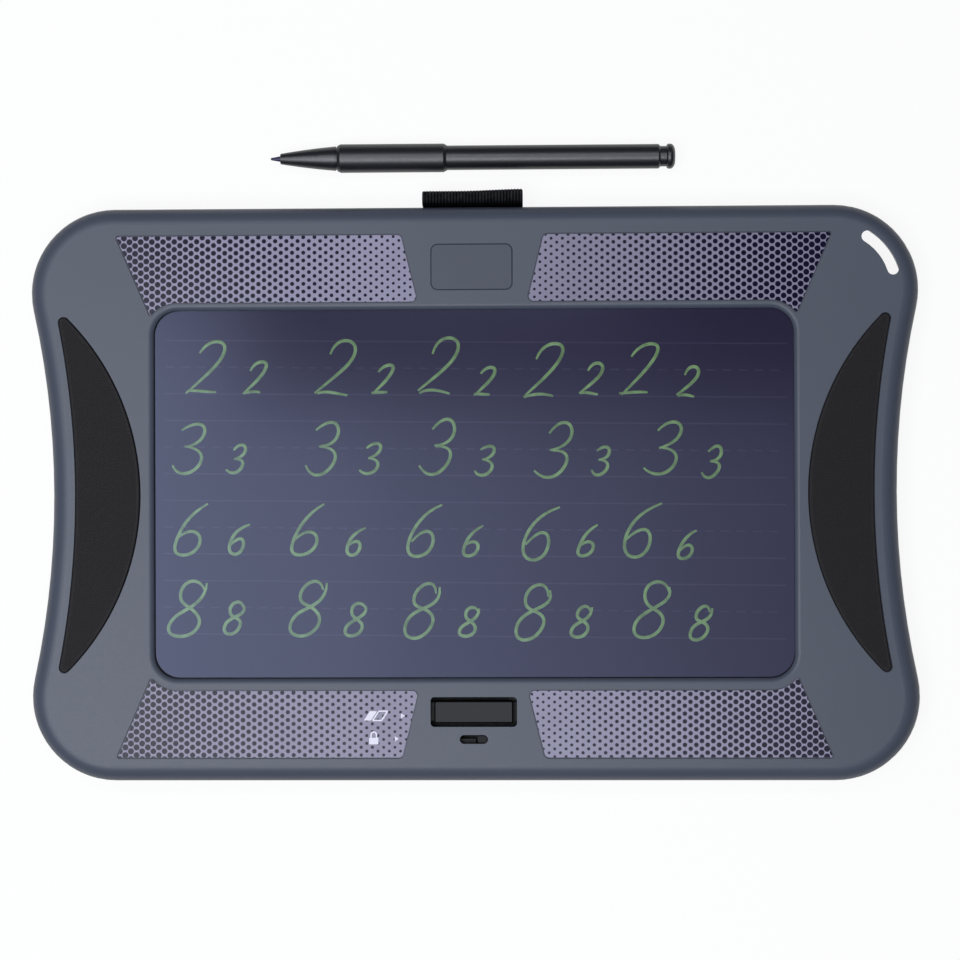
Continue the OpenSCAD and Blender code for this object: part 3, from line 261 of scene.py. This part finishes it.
def dottedPrint(name, look, aside, down, paintedPanelLight):
    # staggered rows of dots, measured from the nearest of two grids, which grow towards the ends of the panel
    finish, tree, shader, place = newFinish(name)
    left = calc(tree, "SUBTRACT", axis(tree, place, 0), aside)
    middle = calc(tree, "ADD", axis(tree, place, 1), look["drop"] + down)
    up = calc(tree, "SUBTRACT", calc(tree, "ABSOLUTE", middle), look["firstRow"])
    halfW, halfH = look["columns"], look["pitch"] / 2
    nearX, nearY = calc(tree, "PINGPONG", left, halfW), calc(tree, "PINGPONG", up, halfH)
    farX, farY = calc(tree, "SUBTRACT", halfW, nearX), calc(tree, "SUBTRACT", halfH, nearY)
    gaps = []
    for x, y in ((nearX, nearY), (farX, farY)):
        both = addNode(tree, "ShaderNodeCombineXYZ", {0: x, 1: y}).outputs[0]
        gaps.append(addNode(tree, "ShaderNodeVectorMath", {0: both}, operation="LENGTH").outputs[1])
    gap = calc(tree, "MINIMUM", *gaps)
    reach = span(tree, calc(tree, "ABSOLUTE", left), look["smallDot"] / 2, look["largeDot"] / 2,
                 look["innerEnd"], look["outerEnd"])
    ink = span(tree, calc(tree, "SUBTRACT", gap, reach), 1, 0, -look["edge"], look["edge"])
    fine = fineNoise(tree, place, look["grain"])
    # painted light: the ground of each panel is made lighter or darker as the light falls on it
    ground = mottled(tree, place, look["patch"], tinted(look["ground"], paintedPanelLight),
                     tinted(look["ground"], look["groundDrift"] * paintedPanelLight))
    dark = mottled(tree, place, look["patch"], look["dot"], tinted(look["dot"], look["dotDrift"]))
    shade(tree, shader, colour=blendColours(tree, ink, ground, dark), rough=span(tree, fine, *look["rough"]),
          shine=look["shine"], normal=raised(tree, fine, look["bump"]))
    return finish


def writingFilm(name, colour, patch, drift):
    finish, tree, shader, place = newFinish(name)
    fine = noise(tree, place, filmLook["grain"])
    tone = mottled(tree, place, patch, tinted(colour, 1 - drift), tinted(colour, 1 + drift))
    shade(tree, shader, colour=tone, rough=span(tree, fine, *filmLook["rough"]), shine=filmLook["shine"],
          shineTint=filmLook["tint"], normal=raised(tree, fine, filmLook["bump"]))
    return finish


def brightMetal(name, colour, rough, grain):
    finish, tree, shader, place = newFinish(name)
    fine = fineNoise(tree, place, grain, 4.0)
    tone = blendColours(tree, span(tree, fine, 0, 1), tinted(colour, metal["dark"]), colour)
    shade(tree, shader, colour=tone, metal=1.0, normal=raised(tree, fine, metal["bump"]),
          rough=span(tree, fine, rough - metal["smoother"], rough + metal["duller"]))
    return finish


finishes = {
    "housing": mouldedPlastic("housingPlastic", paint(76, 82, 95), 0.40, 0.32 * mm, 0.012 * mm, 0.02, 0.36),
    "plate": mouldedPlastic("platePlastic", paint(74, 80, 92), 0.42, 0.3 * mm, 0.01 * mm, 0.03, 0.3),
    "film": writingFilm("filmSurface", paint(38, 32, 55), 50 * mm, 0.06),
    "grip": knurledRubber("knurledRubber", gripLook),
    # the last number of each inlay is painted light on its ground, lighter or darker as the light falls on that
    # panel
    "inlayTopLeft": dottedPrint("dottedTopLeft", dots, 0, -0.3 * mm, 1.11),
    "inlayTopRight": dottedPrint("dottedTopRight", dots, 0, 0.5 * mm, 0.9),
    "inlayLowLeft": dottedPrint("dottedLowLeft", dots, 0, 0, 0.98),
    "inlayLowRight": dottedPrint("dottedLowRight", dots, 0.5 * mm, 0.5 * mm, 1.06),
    "key": keyPlasticPaintedShade("keyPlasticPaintedShade", keyLook),
    "pen": mouldedPlastic("penPlastic", paint(20, 20, 27), 0.38, 0.4 * mm, 0.004 * mm, 0.05, 0.8),
    "sleeve": mouldedPlastic("sleevePlastic", paint(20, 20, 26), 0.4, 0.3 * mm, 0.006 * mm, 0.05, 0.8),
    "nib": mouldedPlastic("nibPlastic", paint(44, 38, 78), 0.35, 0.3 * mm, 0.003 * mm),
    "gasket": mouldedPlastic("gasketFoam", paint(14, 14, 18), 0.85, 0.6 * mm, 0.03 * mm),
    "sheet": mouldedPlastic("stiffenerSheet", paint(36, 36, 40), 0.6, 0.5 * mm, 0.01 * mm),
    "component": mouldedPlastic("componentPlastic", paint(20, 20, 23), 0.55, 0.3 * mm, 0.008 * mm),
    # the board is near black, partly its own mask colour and partly painted shade for the gap round the erase key
    "board": mouldedPlastic("boardMaskAndShade", paint(11, 12, 16), 0.5, 0.8 * mm, 0.006 * mm, 0.05, 0.3),
    "flex": mouldedPlastic("flexFilm", paint(176, 116, 40), 0.3, 0.8 * mm, 0.004 * mm),
    "steel": brightMetal("platedSteel", paint(196, 198, 203), 0.32, 0.6 * mm),
    "brass": brightMetal("rolledBrass", paint(206, 176, 106), 0.34, 0.8 * mm),
    # the seat is painted shadow: a dark rim round the plain plate
    "seat": mouldedPlastic("seatShade", paint(44, 49, 60), 0.6, 0.3 * mm, 0.008 * mm, 0.05, 0.2),
    "signs": mouldedPlastic("signPrint", paint(236, 234, 247), 0.5, 0.3 * mm, 0.004 * mm),
    # the margin is painted shadow of the window's lip on the film
    "margin": mouldedPlastic("marginPaintedShadow", paint(9, 10, 18), 0.5, 0.4 * mm, 0.002 * mm, 0.05, 0.08),
    "rules": writingFilm("rulePrint", paint(52, 46, 69), 20 * mm, 0.08),
    "stroke": writingFilm("strokeGreen", paint(105, 134, 87), 3 * mm, 0.3),
}

wornBy = {
    "housing": ["front_bezel", "rear_cover", "battery_door"],
    "film": ["writing_film"],
    "grip": ["left_grip", "right_grip"],
    "inlayTopLeft": ["inlay_top_left"],
    "inlayTopRight": ["inlay_top_right"],
    "inlayLowLeft": ["inlay_bottom_left"],
    "inlayLowRight": ["inlay_bottom_right"],
    "key": ["erase_button", "lock_slider"],
    "pen": ["stylus_cone", "stylus_barrel", "stylus_plug"],
    "sleeve": ["stylus_sleeve"],
    "nib": ["stylus_nib"],
    "gasket": ["film_gasket"],
    "sheet": ["film_stiffener"],
    "component": ["flex_connector", "driver_chip", "boost_inductor", "board_capacitors", "switch_body",
                  "switch_plunger"],
    "board": ["circuit_board"],
    "flex": ["flex_tail"],
    "steel": ["housing_screws", "battery_door_screw", "board_screws", "coin_cell", "loop_anchor"],
    "brass": ["lock_wiper", "contact_positive", "contact_negative"],
}
for finish, names in wornBy.items():
    for name in names:
        nodes[name].data.materials.clear()
        nodes[name].data.materials.append(finishes[finish])
print("finishes on the CAD nodes")


# modelling helpers
def startPiece():
    if bpy.context.object and bpy.context.object.mode != "OBJECT":
        bpy.ops.object.mode_set(mode="OBJECT")
    bpy.ops.object.select_all(action="DESELECT")


def activate(piece):
    startPiece()
    piece.select_set(True)
    bpy.context.view_layer.objects.active = piece


def freeze():
    bpy.ops.object.transform_apply(location=True, rotation=True, scale=True)


def settle(piece, name, body, finish):
    activate(piece)
    freeze()
    piece.name = name
    piece.data.name = name
    piece.data.materials.clear()
    piece.data.materials.append(finishes[finish])
    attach(piece, body)
    return piece


def joinAll(pieces):
    startPiece()
    for piece in pieces:
        piece.select_set(True)
    bpy.context.view_layer.objects.active = pieces[0]
    if len(pieces) > 1:
        bpy.ops.object.join()
    return bpy.context.object


def repeatPiece(piece, count, step):
    copies = piece.modifiers.new("copies", "ARRAY")
    copies.count = count
    copies.use_relative_offset = False
    copies.use_constant_offset = True
    copies.constant_offset_displace = step
    bpy.context.view_layer.objects.active = piece
    bpy.ops.object.modifier_apply(modifier="copies")


def roundedPlane(size, spot, height, corner, steps):
    # a flat rectangle with round corners, left in edit mode
    startPiece()
    bpy.ops.mesh.primitive_plane_add(size=1, location=(*spot, height))
    piece = bpy.context.object
    piece.scale = (*size, 1)
    freeze()
    bpy.ops.object.mode_set(mode="EDIT")
    bpy.ops.mesh.select_all(action="SELECT")
    bpy.ops.mesh.bevel(offset=corner, segments=steps, affect="VERTICES")
    return piece


def thicken(rise):
    # from edit mode: the flat shape becomes a closed plate
    bpy.ops.mesh.select_all(action="SELECT")
    bpy.ops.mesh.extrude_region_move(TRANSFORM_OT_translate={"value": (0, 0, rise)})
    bpy.ops.mesh.select_all(action="SELECT")
    bpy.ops.mesh.normals_make_consistent(inside=False)
    bpy.ops.object.mode_set(mode="OBJECT")


penLine = {"bevelSteps": 1, "curveSteps": 5, "order": 4, "climb": 0.04}


def flatStrokes(lines, width, thick, height):
    # pen lines drawn as smooth curves, made a mesh and pressed flat onto the surface at height
    startPiece()
    bpy.ops.object.add(type="CURVE")
    curve = bpy.context.object.data
    curve.dimensions = "3D"
    curve.bevel_depth = width / 2
    curve.bevel_resolution = penLine["bevelSteps"]
    curve.resolution_u = penLine["curveSteps"]
    curve.use_fill_caps = True
    for line in lines:
        spline = curve.splines.new("NURBS")
        spline.points.add(len(line) - 1)
        for k, (point, (x, y, weight)) in enumerate(zip(spline.points, line)):
            # the line climbs a little, so that it crosses over itself
            point.co = (x, y, penLine["climb"] * k * width, 1)
            point.radius = weight
        spline.order_u = min(penLine["order"], len(line))
        spline.use_endpoint_u = True
    bpy.ops.object.convert(target="MESH")
    drawn = bpy.context.object
    bpy.ops.object.shade_flat()
    drawn.scale = (1, 1, thick / width)
    drawn.location = (0, 0, height)
    return drawn


# elastic loop: one closed band round the rod, through the slot and out into a drop-shaped bow
tape = {"width": 29.4 * mm, "thick": 0.86 * mm, "rodY": 78.35 * mm, "midZ": 6.0 * mm, "hemR": 1.5 * mm,
        "tailGap": 0.46 * mm, "tailY": 84.4 * mm, "tailR": 0.3 * mm, "frontY": 89.1 * mm, "half": 4.84 * mm,
        "frontR": 2.3 * mm, "hemSteps": 8, "tailSteps": 5, "frontSteps": 14, "step": 0.45 * mm,
        "ribs": 32, "perRib": 4, "ribDepth": 0.26 * mm, "edgeReach": 0.6 * mm, "edgeShare": 0.45,
        "leftShare": 0.9, "skewFrom": -4 * mm, "skewTo": 15 * mm, "smooth": math.radians(60)}
# the crest colour is a painted highlight on the ribs, the valley colour painted shade between them
weave = {"paintedCrestLight": paint(75, 75, 78), "paintedValleyShade": paint(2, 2, 3), "thread": 0.42 * mm, "threadBump": 0.06 * mm,
         "fuzz": 0.18 * mm, "fuzzBump": 0.04 * mm, "fuzzTone": (0.6, 1.2), "patch": 1.6 * mm,
         "patchTone": (0.45, 1.0), "litReach": 4.4 * mm, "darkReach": 8.0 * mm, "paintedShadeTone": 0.05,
         "rough": (0.55, 0.8), "shine": 0.01}


def arcPoints(y, z, radius, start, end, count):
    turns = [math.radians(start + (end - start) * i / count) for i in range(count + 1)]
    return [(y + radius * math.cos(a), z + radius * math.sin(a)) for a in turns]


def tapePath():
    # upper half from the rod to the front, then the same mirrored
    gap, bend, front = tape["tailGap"], tape["tailR"], tape["frontR"]
    hem = math.degrees(math.asin(gap / tape["hemR"]))
    bowY, bowZ = tape["frontY"] - front, tape["half"] - front
    rise, run = bowZ - gap - bend, bowY - tape["tailY"]
    lean = math.degrees(math.atan2(rise, run) + math.asin((bend + front) / math.hypot(rise, run)))
    upper = arcPoints(tape["rodY"], 0, tape["hemR"], 180, hem, tape["hemSteps"])
    upper += arcPoints(tape["tailY"], gap + bend, bend, -90, lean - 90, tape["tailSteps"])
    upper += arcPoints(bowY, bowZ, front, lean + 90, 0, tape["frontSteps"])
    lower = [(y, -z) for y, z in reversed(upper[1:])]
    return [(y, tape["midZ"] + z) for y, z in upper + lower]


def evenSteps(path, step):
    closed = path + [path[0]]
    out = []
    for (y0, z0), (y1, z1) in zip(closed, closed[1:]):
        count = max(1, round(math.hypot(y1 - y0, z1 - z0) / step))
        out += [(y0 + (y1 - y0) * i / count, z0 + (z1 - z0) * i / count) for i in range(count)]
    return out


def tapeSection():
    # both ribbed faces of the band, thinner at its edges, as (across, out from the middle)
    columns, half = tape["ribs"] * tape["perRib"], tape["width"] / 2
    section = []
    for side in (1, -1):
        for j in range(columns + 1):
            x = -half + tape["width"] * j / columns
            wave = 0.5 - 0.5 * math.cos(2 * math.pi * j / tape["perRib"])
            edge = min(1.0, (half - abs(x)) / tape["edgeReach"])
            full = tape["thick"] / 2 - tape["ribDepth"] * (1 - wave)
            reach = full * (tape["edgeShare"] + (1 - tape["edgeShare"]) * edge)
            section.append((x if side > 0 else -x, side * reach))
    return section


def bowOut(x, y):
    # the bow stands out less on the left than on the right
    share = min(1.0, max(0.0, (x - tape["skewFrom"]) / (tape["skewTo"] - tape["skewFrom"])))
    share = tape["leftShare"] + (1 - tape["leftShare"]) * share * share * (3 - 2 * share)
    root = tape["tailY"]
    return root + (y - root) * share if y > root else y


def buildTape():
    path = evenSteps(tapePath(), tape["step"])
    section = tapeSection()
    turns, around = len(path), len(section)
    verts, faces, steps = [], [], [0.0]
    for i, (y, z) in enumerate(path):
        (lastY, lastZ), (nextY, nextZ) = path[i - 1], path[(i + 1) % turns]
        size = math.hypot(nextY - lastY, nextZ - lastZ)
        outY, outZ = -(nextZ - lastZ) / size, (nextY - lastY) / size
        verts += [(x, bowOut(x, y + outY * reach), z + outZ * reach) for x, reach in section]
        steps.append(steps[-1] + math.dist(path[i], path[(i + 1) % turns]))
    for i in range(turns):
        here, there = i * around, (i + 1) % turns * around
        for j in range(around):
            beside = (j + 1) % around
            faces.append((here + j, here + beside, there + beside, there + j))
    mesh = bpy.data.meshes.new("loopTape")
    mesh.from_pydata(verts, [], faces)
    chart = mesh.uv_layers.new(name="weave")
    for face in mesh.polygons:
        i, j = divmod(face.index, around)
        for loop, (di, dj) in zip(face.loop_indices, ((0, 0), (0, 1), (1, 1), (1, 0))):
            chart.data[loop].uv = (section[(j + dj) % around][0], steps[i + di])
    piece = bpy.data.objects.new("loopTape", mesh)
    bpy.context.scene.collection.objects.link(piece)
    activate(piece)
    bpy.ops.object.mode_set(mode="EDIT")
    bpy.ops.mesh.select_all(action="SELECT")
    bpy.ops.mesh.normals_make_consistent(inside=False)
    bpy.ops.object.mode_set(mode="OBJECT")
    bpy.ops.object.shade_smooth_by_angle(angle=tape["smooth"])
    return piece, steps[-1]


def elasticWeave(name, length):
    # painted highlights on the rib crests and painted shade in the valleys, fine threads across them, and painted
    # shade that darkens the band away from the front of the bow
    finish, tree, shader, place = newFinish(name)
    chart = addNode(tree, "ShaderNodeUVMap", uv_map="weave").outputs[0]
    across, along = axis(tree, chart, 0), axis(tree, chart, 1)
    rib, thread = tape["width"] / tape["ribs"] / 2, weave["thread"] / 2
    fromEdge = calc(tree, "ADD", across, tape["width"] / 2)
    paintedCrestLight = calc(tree, "DIVIDE", calc(tree, "PINGPONG", fromEdge, rib), rib)
    pick = calc(tree, "DIVIDE", calc(tree, "PINGPONG", along, thread), thread)
    fuzz = noise(tree, place, weave["fuzz"], 4.0, 0.65)
    patches = span(tree, noise(tree, place, weave["patch"]), *weave["patchTone"])
    fromFront = calc(tree, "ABSOLUTE", calc(tree, "SUBTRACT", along, length / 2))
    # painted shade: the band darkens with distance from the front of the bow
    paintedFrontLight = span(tree, fromFront, 1.0, weave["paintedShadeTone"], weave["litReach"], weave["darkReach"])
    lit = calc(tree, "MULTIPLY", paintedCrestLight, calc(tree, "MULTIPLY", paintedFrontLight, patches))
    lit = calc(tree, "MULTIPLY", lit, span(tree, fuzz, *weave["fuzzTone"]))
    bumps = raised(tree, fuzz, weave["fuzzBump"], raised(tree, pick, weave["threadBump"]))
    shade(tree, shader, colour=blendColours(tree, lit, weave["paintedValleyShade"], weave["paintedCrestLight"]),
          rough=span(tree, fuzz, *weave["rough"]), shine=weave["shine"], normal=bumps)
    return finish


loopTape, tapeLength = buildTape()
finishes["tape"] = elasticWeave("elasticWeave", tapeLength)
settle(loopTape, "loopTape", "tablet", "tape")
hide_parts("stylus_loop")
print("elastic loop woven, length", round(tapeLength, 4))


# diamond studs of the grip pads: one stud, repeated over the pad's box, then cleared outside its outline
studs = {"pitch": 0.85 * mm, "foot": 0.3 * mm, "tip": 0.1 * mm, "rise": 0.13 * mm, "sunk": 0.03 * mm,
         "border": 0.55 * mm, "corners": 4, "dropFrom": 10 * mm, "lowest": 0.02 * mm}


def oneStud(x, y, top):
    bpy.ops.mesh.primitive_cone_add(vertices=studs["corners"], radius1=studs["foot"], radius2=studs["tip"],
                                    depth=studs["rise"] + studs["sunk"], end_fill_type="NGON",
                                    location=(x, y, top + (studs["rise"] - studs["sunk"]) / 2))
    freeze()
    return bpy.context.object


def onPad(pad, x, y, top):
    # the pad's flat top lies under the spot and under four spots round it
    reach = studs["border"]
    for dx, dy in ((0, 0), (reach, 0), (-reach, 0), (0, reach), (0, -reach)):
        hit, spot, _, _ = pad.ray_cast((x + dx, y + dy, top + studs["dropFrom"]), (0, 0, -1))
        if not hit or spot.z < top - studs["lowest"]:
            return False
    return True


def clearOutside(field, perStud, pad, top):
    bpy.ops.object.mode_set(mode="EDIT")
    bpy.ops.mesh.select_all(action="DESELECT")
    bpy.ops.object.mode_set(mode="OBJECT")
    verts = field.data.vertices
    for first in range(0, len(verts), perStud):
        group = [verts[first + i] for i in range(perStud)]
        x = sum(v.co.x for v in group) / perStud
        y = sum(v.co.y for v in group) / perStud
        keep = onPad(pad, x, y, top)
        for v in group:
            v.select = not keep
    bpy.ops.object.mode_set(mode="EDIT")
    bpy.ops.mesh.delete(type="VERT")
    bpy.ops.object.mode_set(mode="OBJECT")


def buildStuds(padName):
    low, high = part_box(padName)
    pitch, top = studs["pitch"], high[2]
    across, along = int((high[0] - low[0]) / pitch), int((high[1] - low[1]) / pitch)
    fields = []
    for shift in (0, pitch / 2):
        startPiece()
        field = oneStud(low[0] + pitch / 2 + shift, low[1] + pitch / 2 + shift, top)
        perStud = len(field.data.vertices)
        repeatPiece(field, across, (pitch, 0, 0))
        repeatPiece(field, along, (0, pitch, 0))
        clearOutside(field, perStud, nodes[padName], top)
        fields.append(field)
    return joinAll(fields)


for padName, studName in (("left_grip", "leftStuds"), ("right_grip", "rightStuds")):
    field = settle(buildStuds(padName), studName, "tablet", "grip")
    print("grip studs set:", studName, len(field.data.polygons), "faces")


# plain plate above the window, on a narrow dark seat whose rim shows round it as a painted shadow line
plate = {"size": (23.4 * mm, 13.0 * mm), "spot": (-0.2 * mm, 66.1 * mm), "rise": 0.2 * mm, "corner": 1.8 * mm,
         "cornerSteps": 6, "edge": 0.1 * mm, "edgeSteps": 2, "face": 14.0 * mm, "sunk": 0.1 * mm,
         "seam": 0.3 * mm, "seatRise": 0.03 * mm, "smooth": math.radians(20)}


def buildPlate(extra, rise):
    size = [side + 2 * extra for side in plate["size"]]
    piece = roundedPlane(size, plate["spot"], plate["face"] - plate["sunk"], plate["corner"] + extra,
                         plate["cornerSteps"])
    thicken(rise + plate["sunk"])
    edge = piece.modifiers.new("softEdge", "BEVEL")
    edge.width = min(plate["edge"], rise / 2)
    edge.segments = plate["edgeSteps"]
    edge.limit_method = "ANGLE"
    bpy.ops.object.modifier_apply(modifier="softEdge")
    bpy.ops.object.shade_smooth_by_angle(angle=plate["smooth"])
    return piece


# the dark seat is painted shadow, a shadow gap round the plate
settle(buildPlate(plate["seam"], plate["seatRise"]), "plateShadowSeat", "tablet", "seat")
settle(buildPlate(0, plate["rise"]), "plainPlate", "tablet", "plate")
print("plain plate set")


# dark margin of the film, painted shadow of the window's lip, which shows along the left and the near edge of the
# window
margin = {"outer": (187.4 * mm, 108.2 * mm), "spot": (0.12 * mm, 0.12 * mm), "corner": 7.2 * mm,
          "cornerSteps": 10, "inner": (186.42 * mm, 107.28 * mm), "surface": 12.506 * mm, "thick": 0.01 * mm}


def roundedOutline(size, spot):
    outline = roundedPlane(size, spot, margin["surface"], margin["corner"], margin["cornerSteps"])
    bpy.ops.mesh.select_all(action="SELECT")
    bpy.ops.mesh.delete(type="ONLY_FACE")
    bpy.ops.object.mode_set(mode="OBJECT")
    return outline


def buildMargin():
    outer = roundedOutline(margin["outer"], (0, 0))
    inner = roundedOutline(margin["inner"], margin["spot"])
    ring = joinAll([outer, inner])
    bpy.ops.object.mode_set(mode="EDIT")
    bpy.ops.mesh.select_all(action="SELECT")
    bpy.ops.mesh.bridge_edge_loops()
    thicken(margin["thick"])
    return ring


settle(buildMargin(), "filmShadowMargin", "tablet", "margin")
print("film margin printed")


# ruled lines printed on the film: solid, dashed, solid, four times
rules = {"left": -90.5 * mm, "right": 91.2 * mm, "top": 44.29 * mm, "step": 7.8 * mm, "row": 23.43 * mm,
         "rows": 4, "wide": 0.42 * mm, "thick": 0.02 * mm, "surface": 12.5 * mm, "dash": 2.6 * mm,
         "period": 4.65 * mm, "askew": math.radians(-0.6)}


def thinBar(left, right, y):
    bpy.ops.mesh.primitive_cube_add(size=1, location=((left + right) / 2, y, rules["surface"]))
    bar = bpy.context.object
    bar.scale = (right - left, rules["wide"], rules["thick"])
    freeze()
    return bar


def buildRules():
    startPiece()
    left, right = rules["left"], rules["right"]
    bars = []
    for row in range(rules["rows"]):
        top = rules["top"] - row * rules["row"]
        for y in (top, top - 2 * rules["step"]):
            bars.append(thinBar(left, right, y))
        bar = thinBar(left, left + rules["dash"], top - rules["step"])
        repeatPiece(bar, int((right - left) / rules["period"]), (rules["period"], 0, 0))
        bars.append(bar)
    lines = joinAll(bars)
    lines.rotation_euler[2] = rules["askew"]
    return lines


settle(buildRules(), "ruledLines", "tablet", "rules")
print("ruled lines printed")


# hand-drawn practice numbers, a tall one and a small one in each pair, no two quite alike
numbers = {"surface": 12.512 * mm, "wide": 0.95 * mm, "thick": 0.03 * mm, "lean": 0.28, "narrow": 0.86,
           "tall": 14.6 * mm, "small": 8.2 * mm, "between": 16.5 * mm, "overLine": 0.4 * mm,
           "endWidth": 0.6, "wobble": 0.03, "wobbleTurns": (7.3, 2.1), "swayTurns": (5.1, 1.7),
           "lift": 0.5 * mm, "liftTurn": 3.7, "tallDrift": 0.04, "smallDrift": 0.06,
           "rows": [(2, (-84, -46.2, -16.3, 14.5, 42.7)),
                    (3, (-89, -50, -16.5, 17.5, 49.5)),
                    (6, (-88.5, -54, -20, 13.5, 42.8)),
                    (8, (-89.5, -54, -20.5, 12, 46.5))]}
shapes = {2: [[(0.04, 0.76), (0.1, 1.04), (0.62, 1.1), (0.64, 0.66), (0.3, 0.3), (0.0, 0.0)],
              [(0.0, 0.0), (0.2, 0.05), (0.42, 0.04), (0.68, 0.0)]],
          3: [[(0.04, 0.86), (0.24, 1.1), (0.68, 1.02), (0.58, 0.58), (0.22, 0.53)],
              [(0.22, 0.53), (0.74, 0.52), (0.7, -0.06), (0.2, -0.06), (0.0, 0.14)]],
          6: [[(0.58, 1.0), (0.2, 0.84), (-0.02, 0.36), (0.08, -0.08), (0.6, -0.06), (0.66, 0.42),
               (0.28, 0.54), (0.05, 0.26)]],
          8: [[(0.58, 0.84), (0.44, 1.1), (0.0, 1.06), (0.04, 0.6), (0.42, 0.52), (0.74, 0.28),
               (0.54, -0.1), (0.0, -0.06), (-0.02, 0.36), (0.4, 0.54), (0.68, 0.74), (0.57, 0.98)]]}


def handNumber(digit, left, base, size, turn):
    (wobbleTurn, wobbleStep), (swayTurn, swayStep) = numbers["wobbleTurns"], numbers["swayTurns"]
    lines = []
    for line in shapes[digit]:
        points = []
        for k, (x, y) in enumerate(line):
            wobble = numbers["wobble"] * math.sin(wobbleTurn * turn + wobbleStep * k)
            sway = numbers["wobble"] * math.cos(swayTurn * turn + swayStep * k)
            px = left + size * (x * numbers["narrow"] + wobble + numbers["lean"] * y)
            py = base + size * (y + sway)
            points.append((px, py, numbers["endWidth"] if k in (0, len(line) - 1) else 1.0))
        lines.append(points)
    return lines


def buildNumbers():
    lines = []
    for row, (digit, lefts) in enumerate(numbers["rows"]):
        base = rules["top"] - 2 * rules["step"] - row * rules["row"] + numbers["overLine"]
        for k, left in enumerate(lefts):
            turn = row * len(lefts) + k
            lift = numbers["lift"] * math.sin(numbers["liftTurn"] * turn)
            tall = numbers["tall"] * (1 + numbers["tallDrift"] * math.sin(turn))
            small = numbers["small"] * (1 + numbers["smallDrift"] * math.cos(2 * turn))
            lines += handNumber(digit, left * mm, base + lift, tall, turn)
            lines += handNumber(digit, left * mm + numbers["between"], base - lift / 2, small, turn + 0.5)
    drawn = flatStrokes(lines, numbers["wide"], numbers["thick"], numbers["surface"])
    drawn.rotation_euler[2] = rules["askew"]
    return drawn


settle(buildNumbers(), "handNumbers", "tablet", "stroke")
print("practice numbers drawn")


# control signs on the lower left inlay: an eraser and a padlock, each with a pointer
signs = {"surface": 13.9 * mm, "thick": 0.02 * mm, "line": 0.42 * mm,
         "eraser": (-28.6 * mm, -64.65 * mm), "padlock": (-29.2 * mm, -71.35 * mm),
         "pointers": ((-20.8 * mm, -64.65 * mm), (-22.6 * mm, -71.35 * mm)), "pointer": 0.74 * mm,
         "pointerBack": 0.6, "eraserHalf": (2.6 * mm, 1.35 * mm), "eraserLean": 0.9 * mm,
         "eraserGap": 0.5 * mm, "lockHalf": 1.35 * mm, "lockLow": -1.6 * mm, "lockHigh": 0.3 * mm,
         "hoop": ((-0.8 * mm, 0.2 * mm), (-0.85 * mm, 1.5 * mm), (-0.5 * mm, 2.0 * mm),
                  (0.5 * mm, 2.0 * mm), (0.85 * mm, 1.5 * mm), (0.8 * mm, 0.2 * mm))}


def flatShape(points):
    startPiece()
    bpy.ops.mesh.primitive_circle_add(vertices=len(points), radius=1, fill_type="NGON", location=(0, 0, 0))
    piece = bpy.context.object
    for vertex, (x, y) in zip(piece.data.vertices, points):
        vertex.co = (x, y, signs["surface"] - signs["thick"] / 2)
    bpy.ops.object.mode_set(mode="EDIT")
    thicken(signs["thick"])
    return piece


def signLine(points):
    return flatStrokes([[(x, y, 1) for x, y in points]], signs["line"], signs["thick"], signs["surface"])


def buildSigns():
    parts = []
    for x, y in signs["pointers"]:
        tip, back = signs["pointer"], signs["pointerBack"] * signs["pointer"]
        parts.append(flatShape([(x + tip, y), (x - back, y + tip), (x - back, y - tip)]))
    x, y = signs["eraser"]
    (wide, tall), lean, gap = signs["eraserHalf"], signs["eraserLean"], signs["eraserGap"]
    low, high = y - tall, y + tall
    parts.append(flatShape([(x - wide - lean, low), (x - gap - lean, low), (x - gap + lean, high),
                            (x - wide + lean, high)]))
    outline = [(x - lean, low), (x + wide - lean, low), (x + wide + lean, high), (x + lean, high)]
    parts += [signLine(ends) for ends in zip(outline, outline[1:] + outline[:1])]
    x, y = signs["padlock"]
    half, low, high = signs["lockHalf"], y + signs["lockLow"], y + signs["lockHigh"]
    parts.append(flatShape([(x - half, low), (x + half, low), (x + half, high), (x - half, high)]))
    parts.append(signLine([(x + dx, y + dy) for dx, dy in signs["hoop"]]))
    for part in parts:
        activate(part)
        freeze()
    return joinAll(parts)


settle(buildSigns(), "controlSigns", "tablet", "signs")
print("control signs printed")
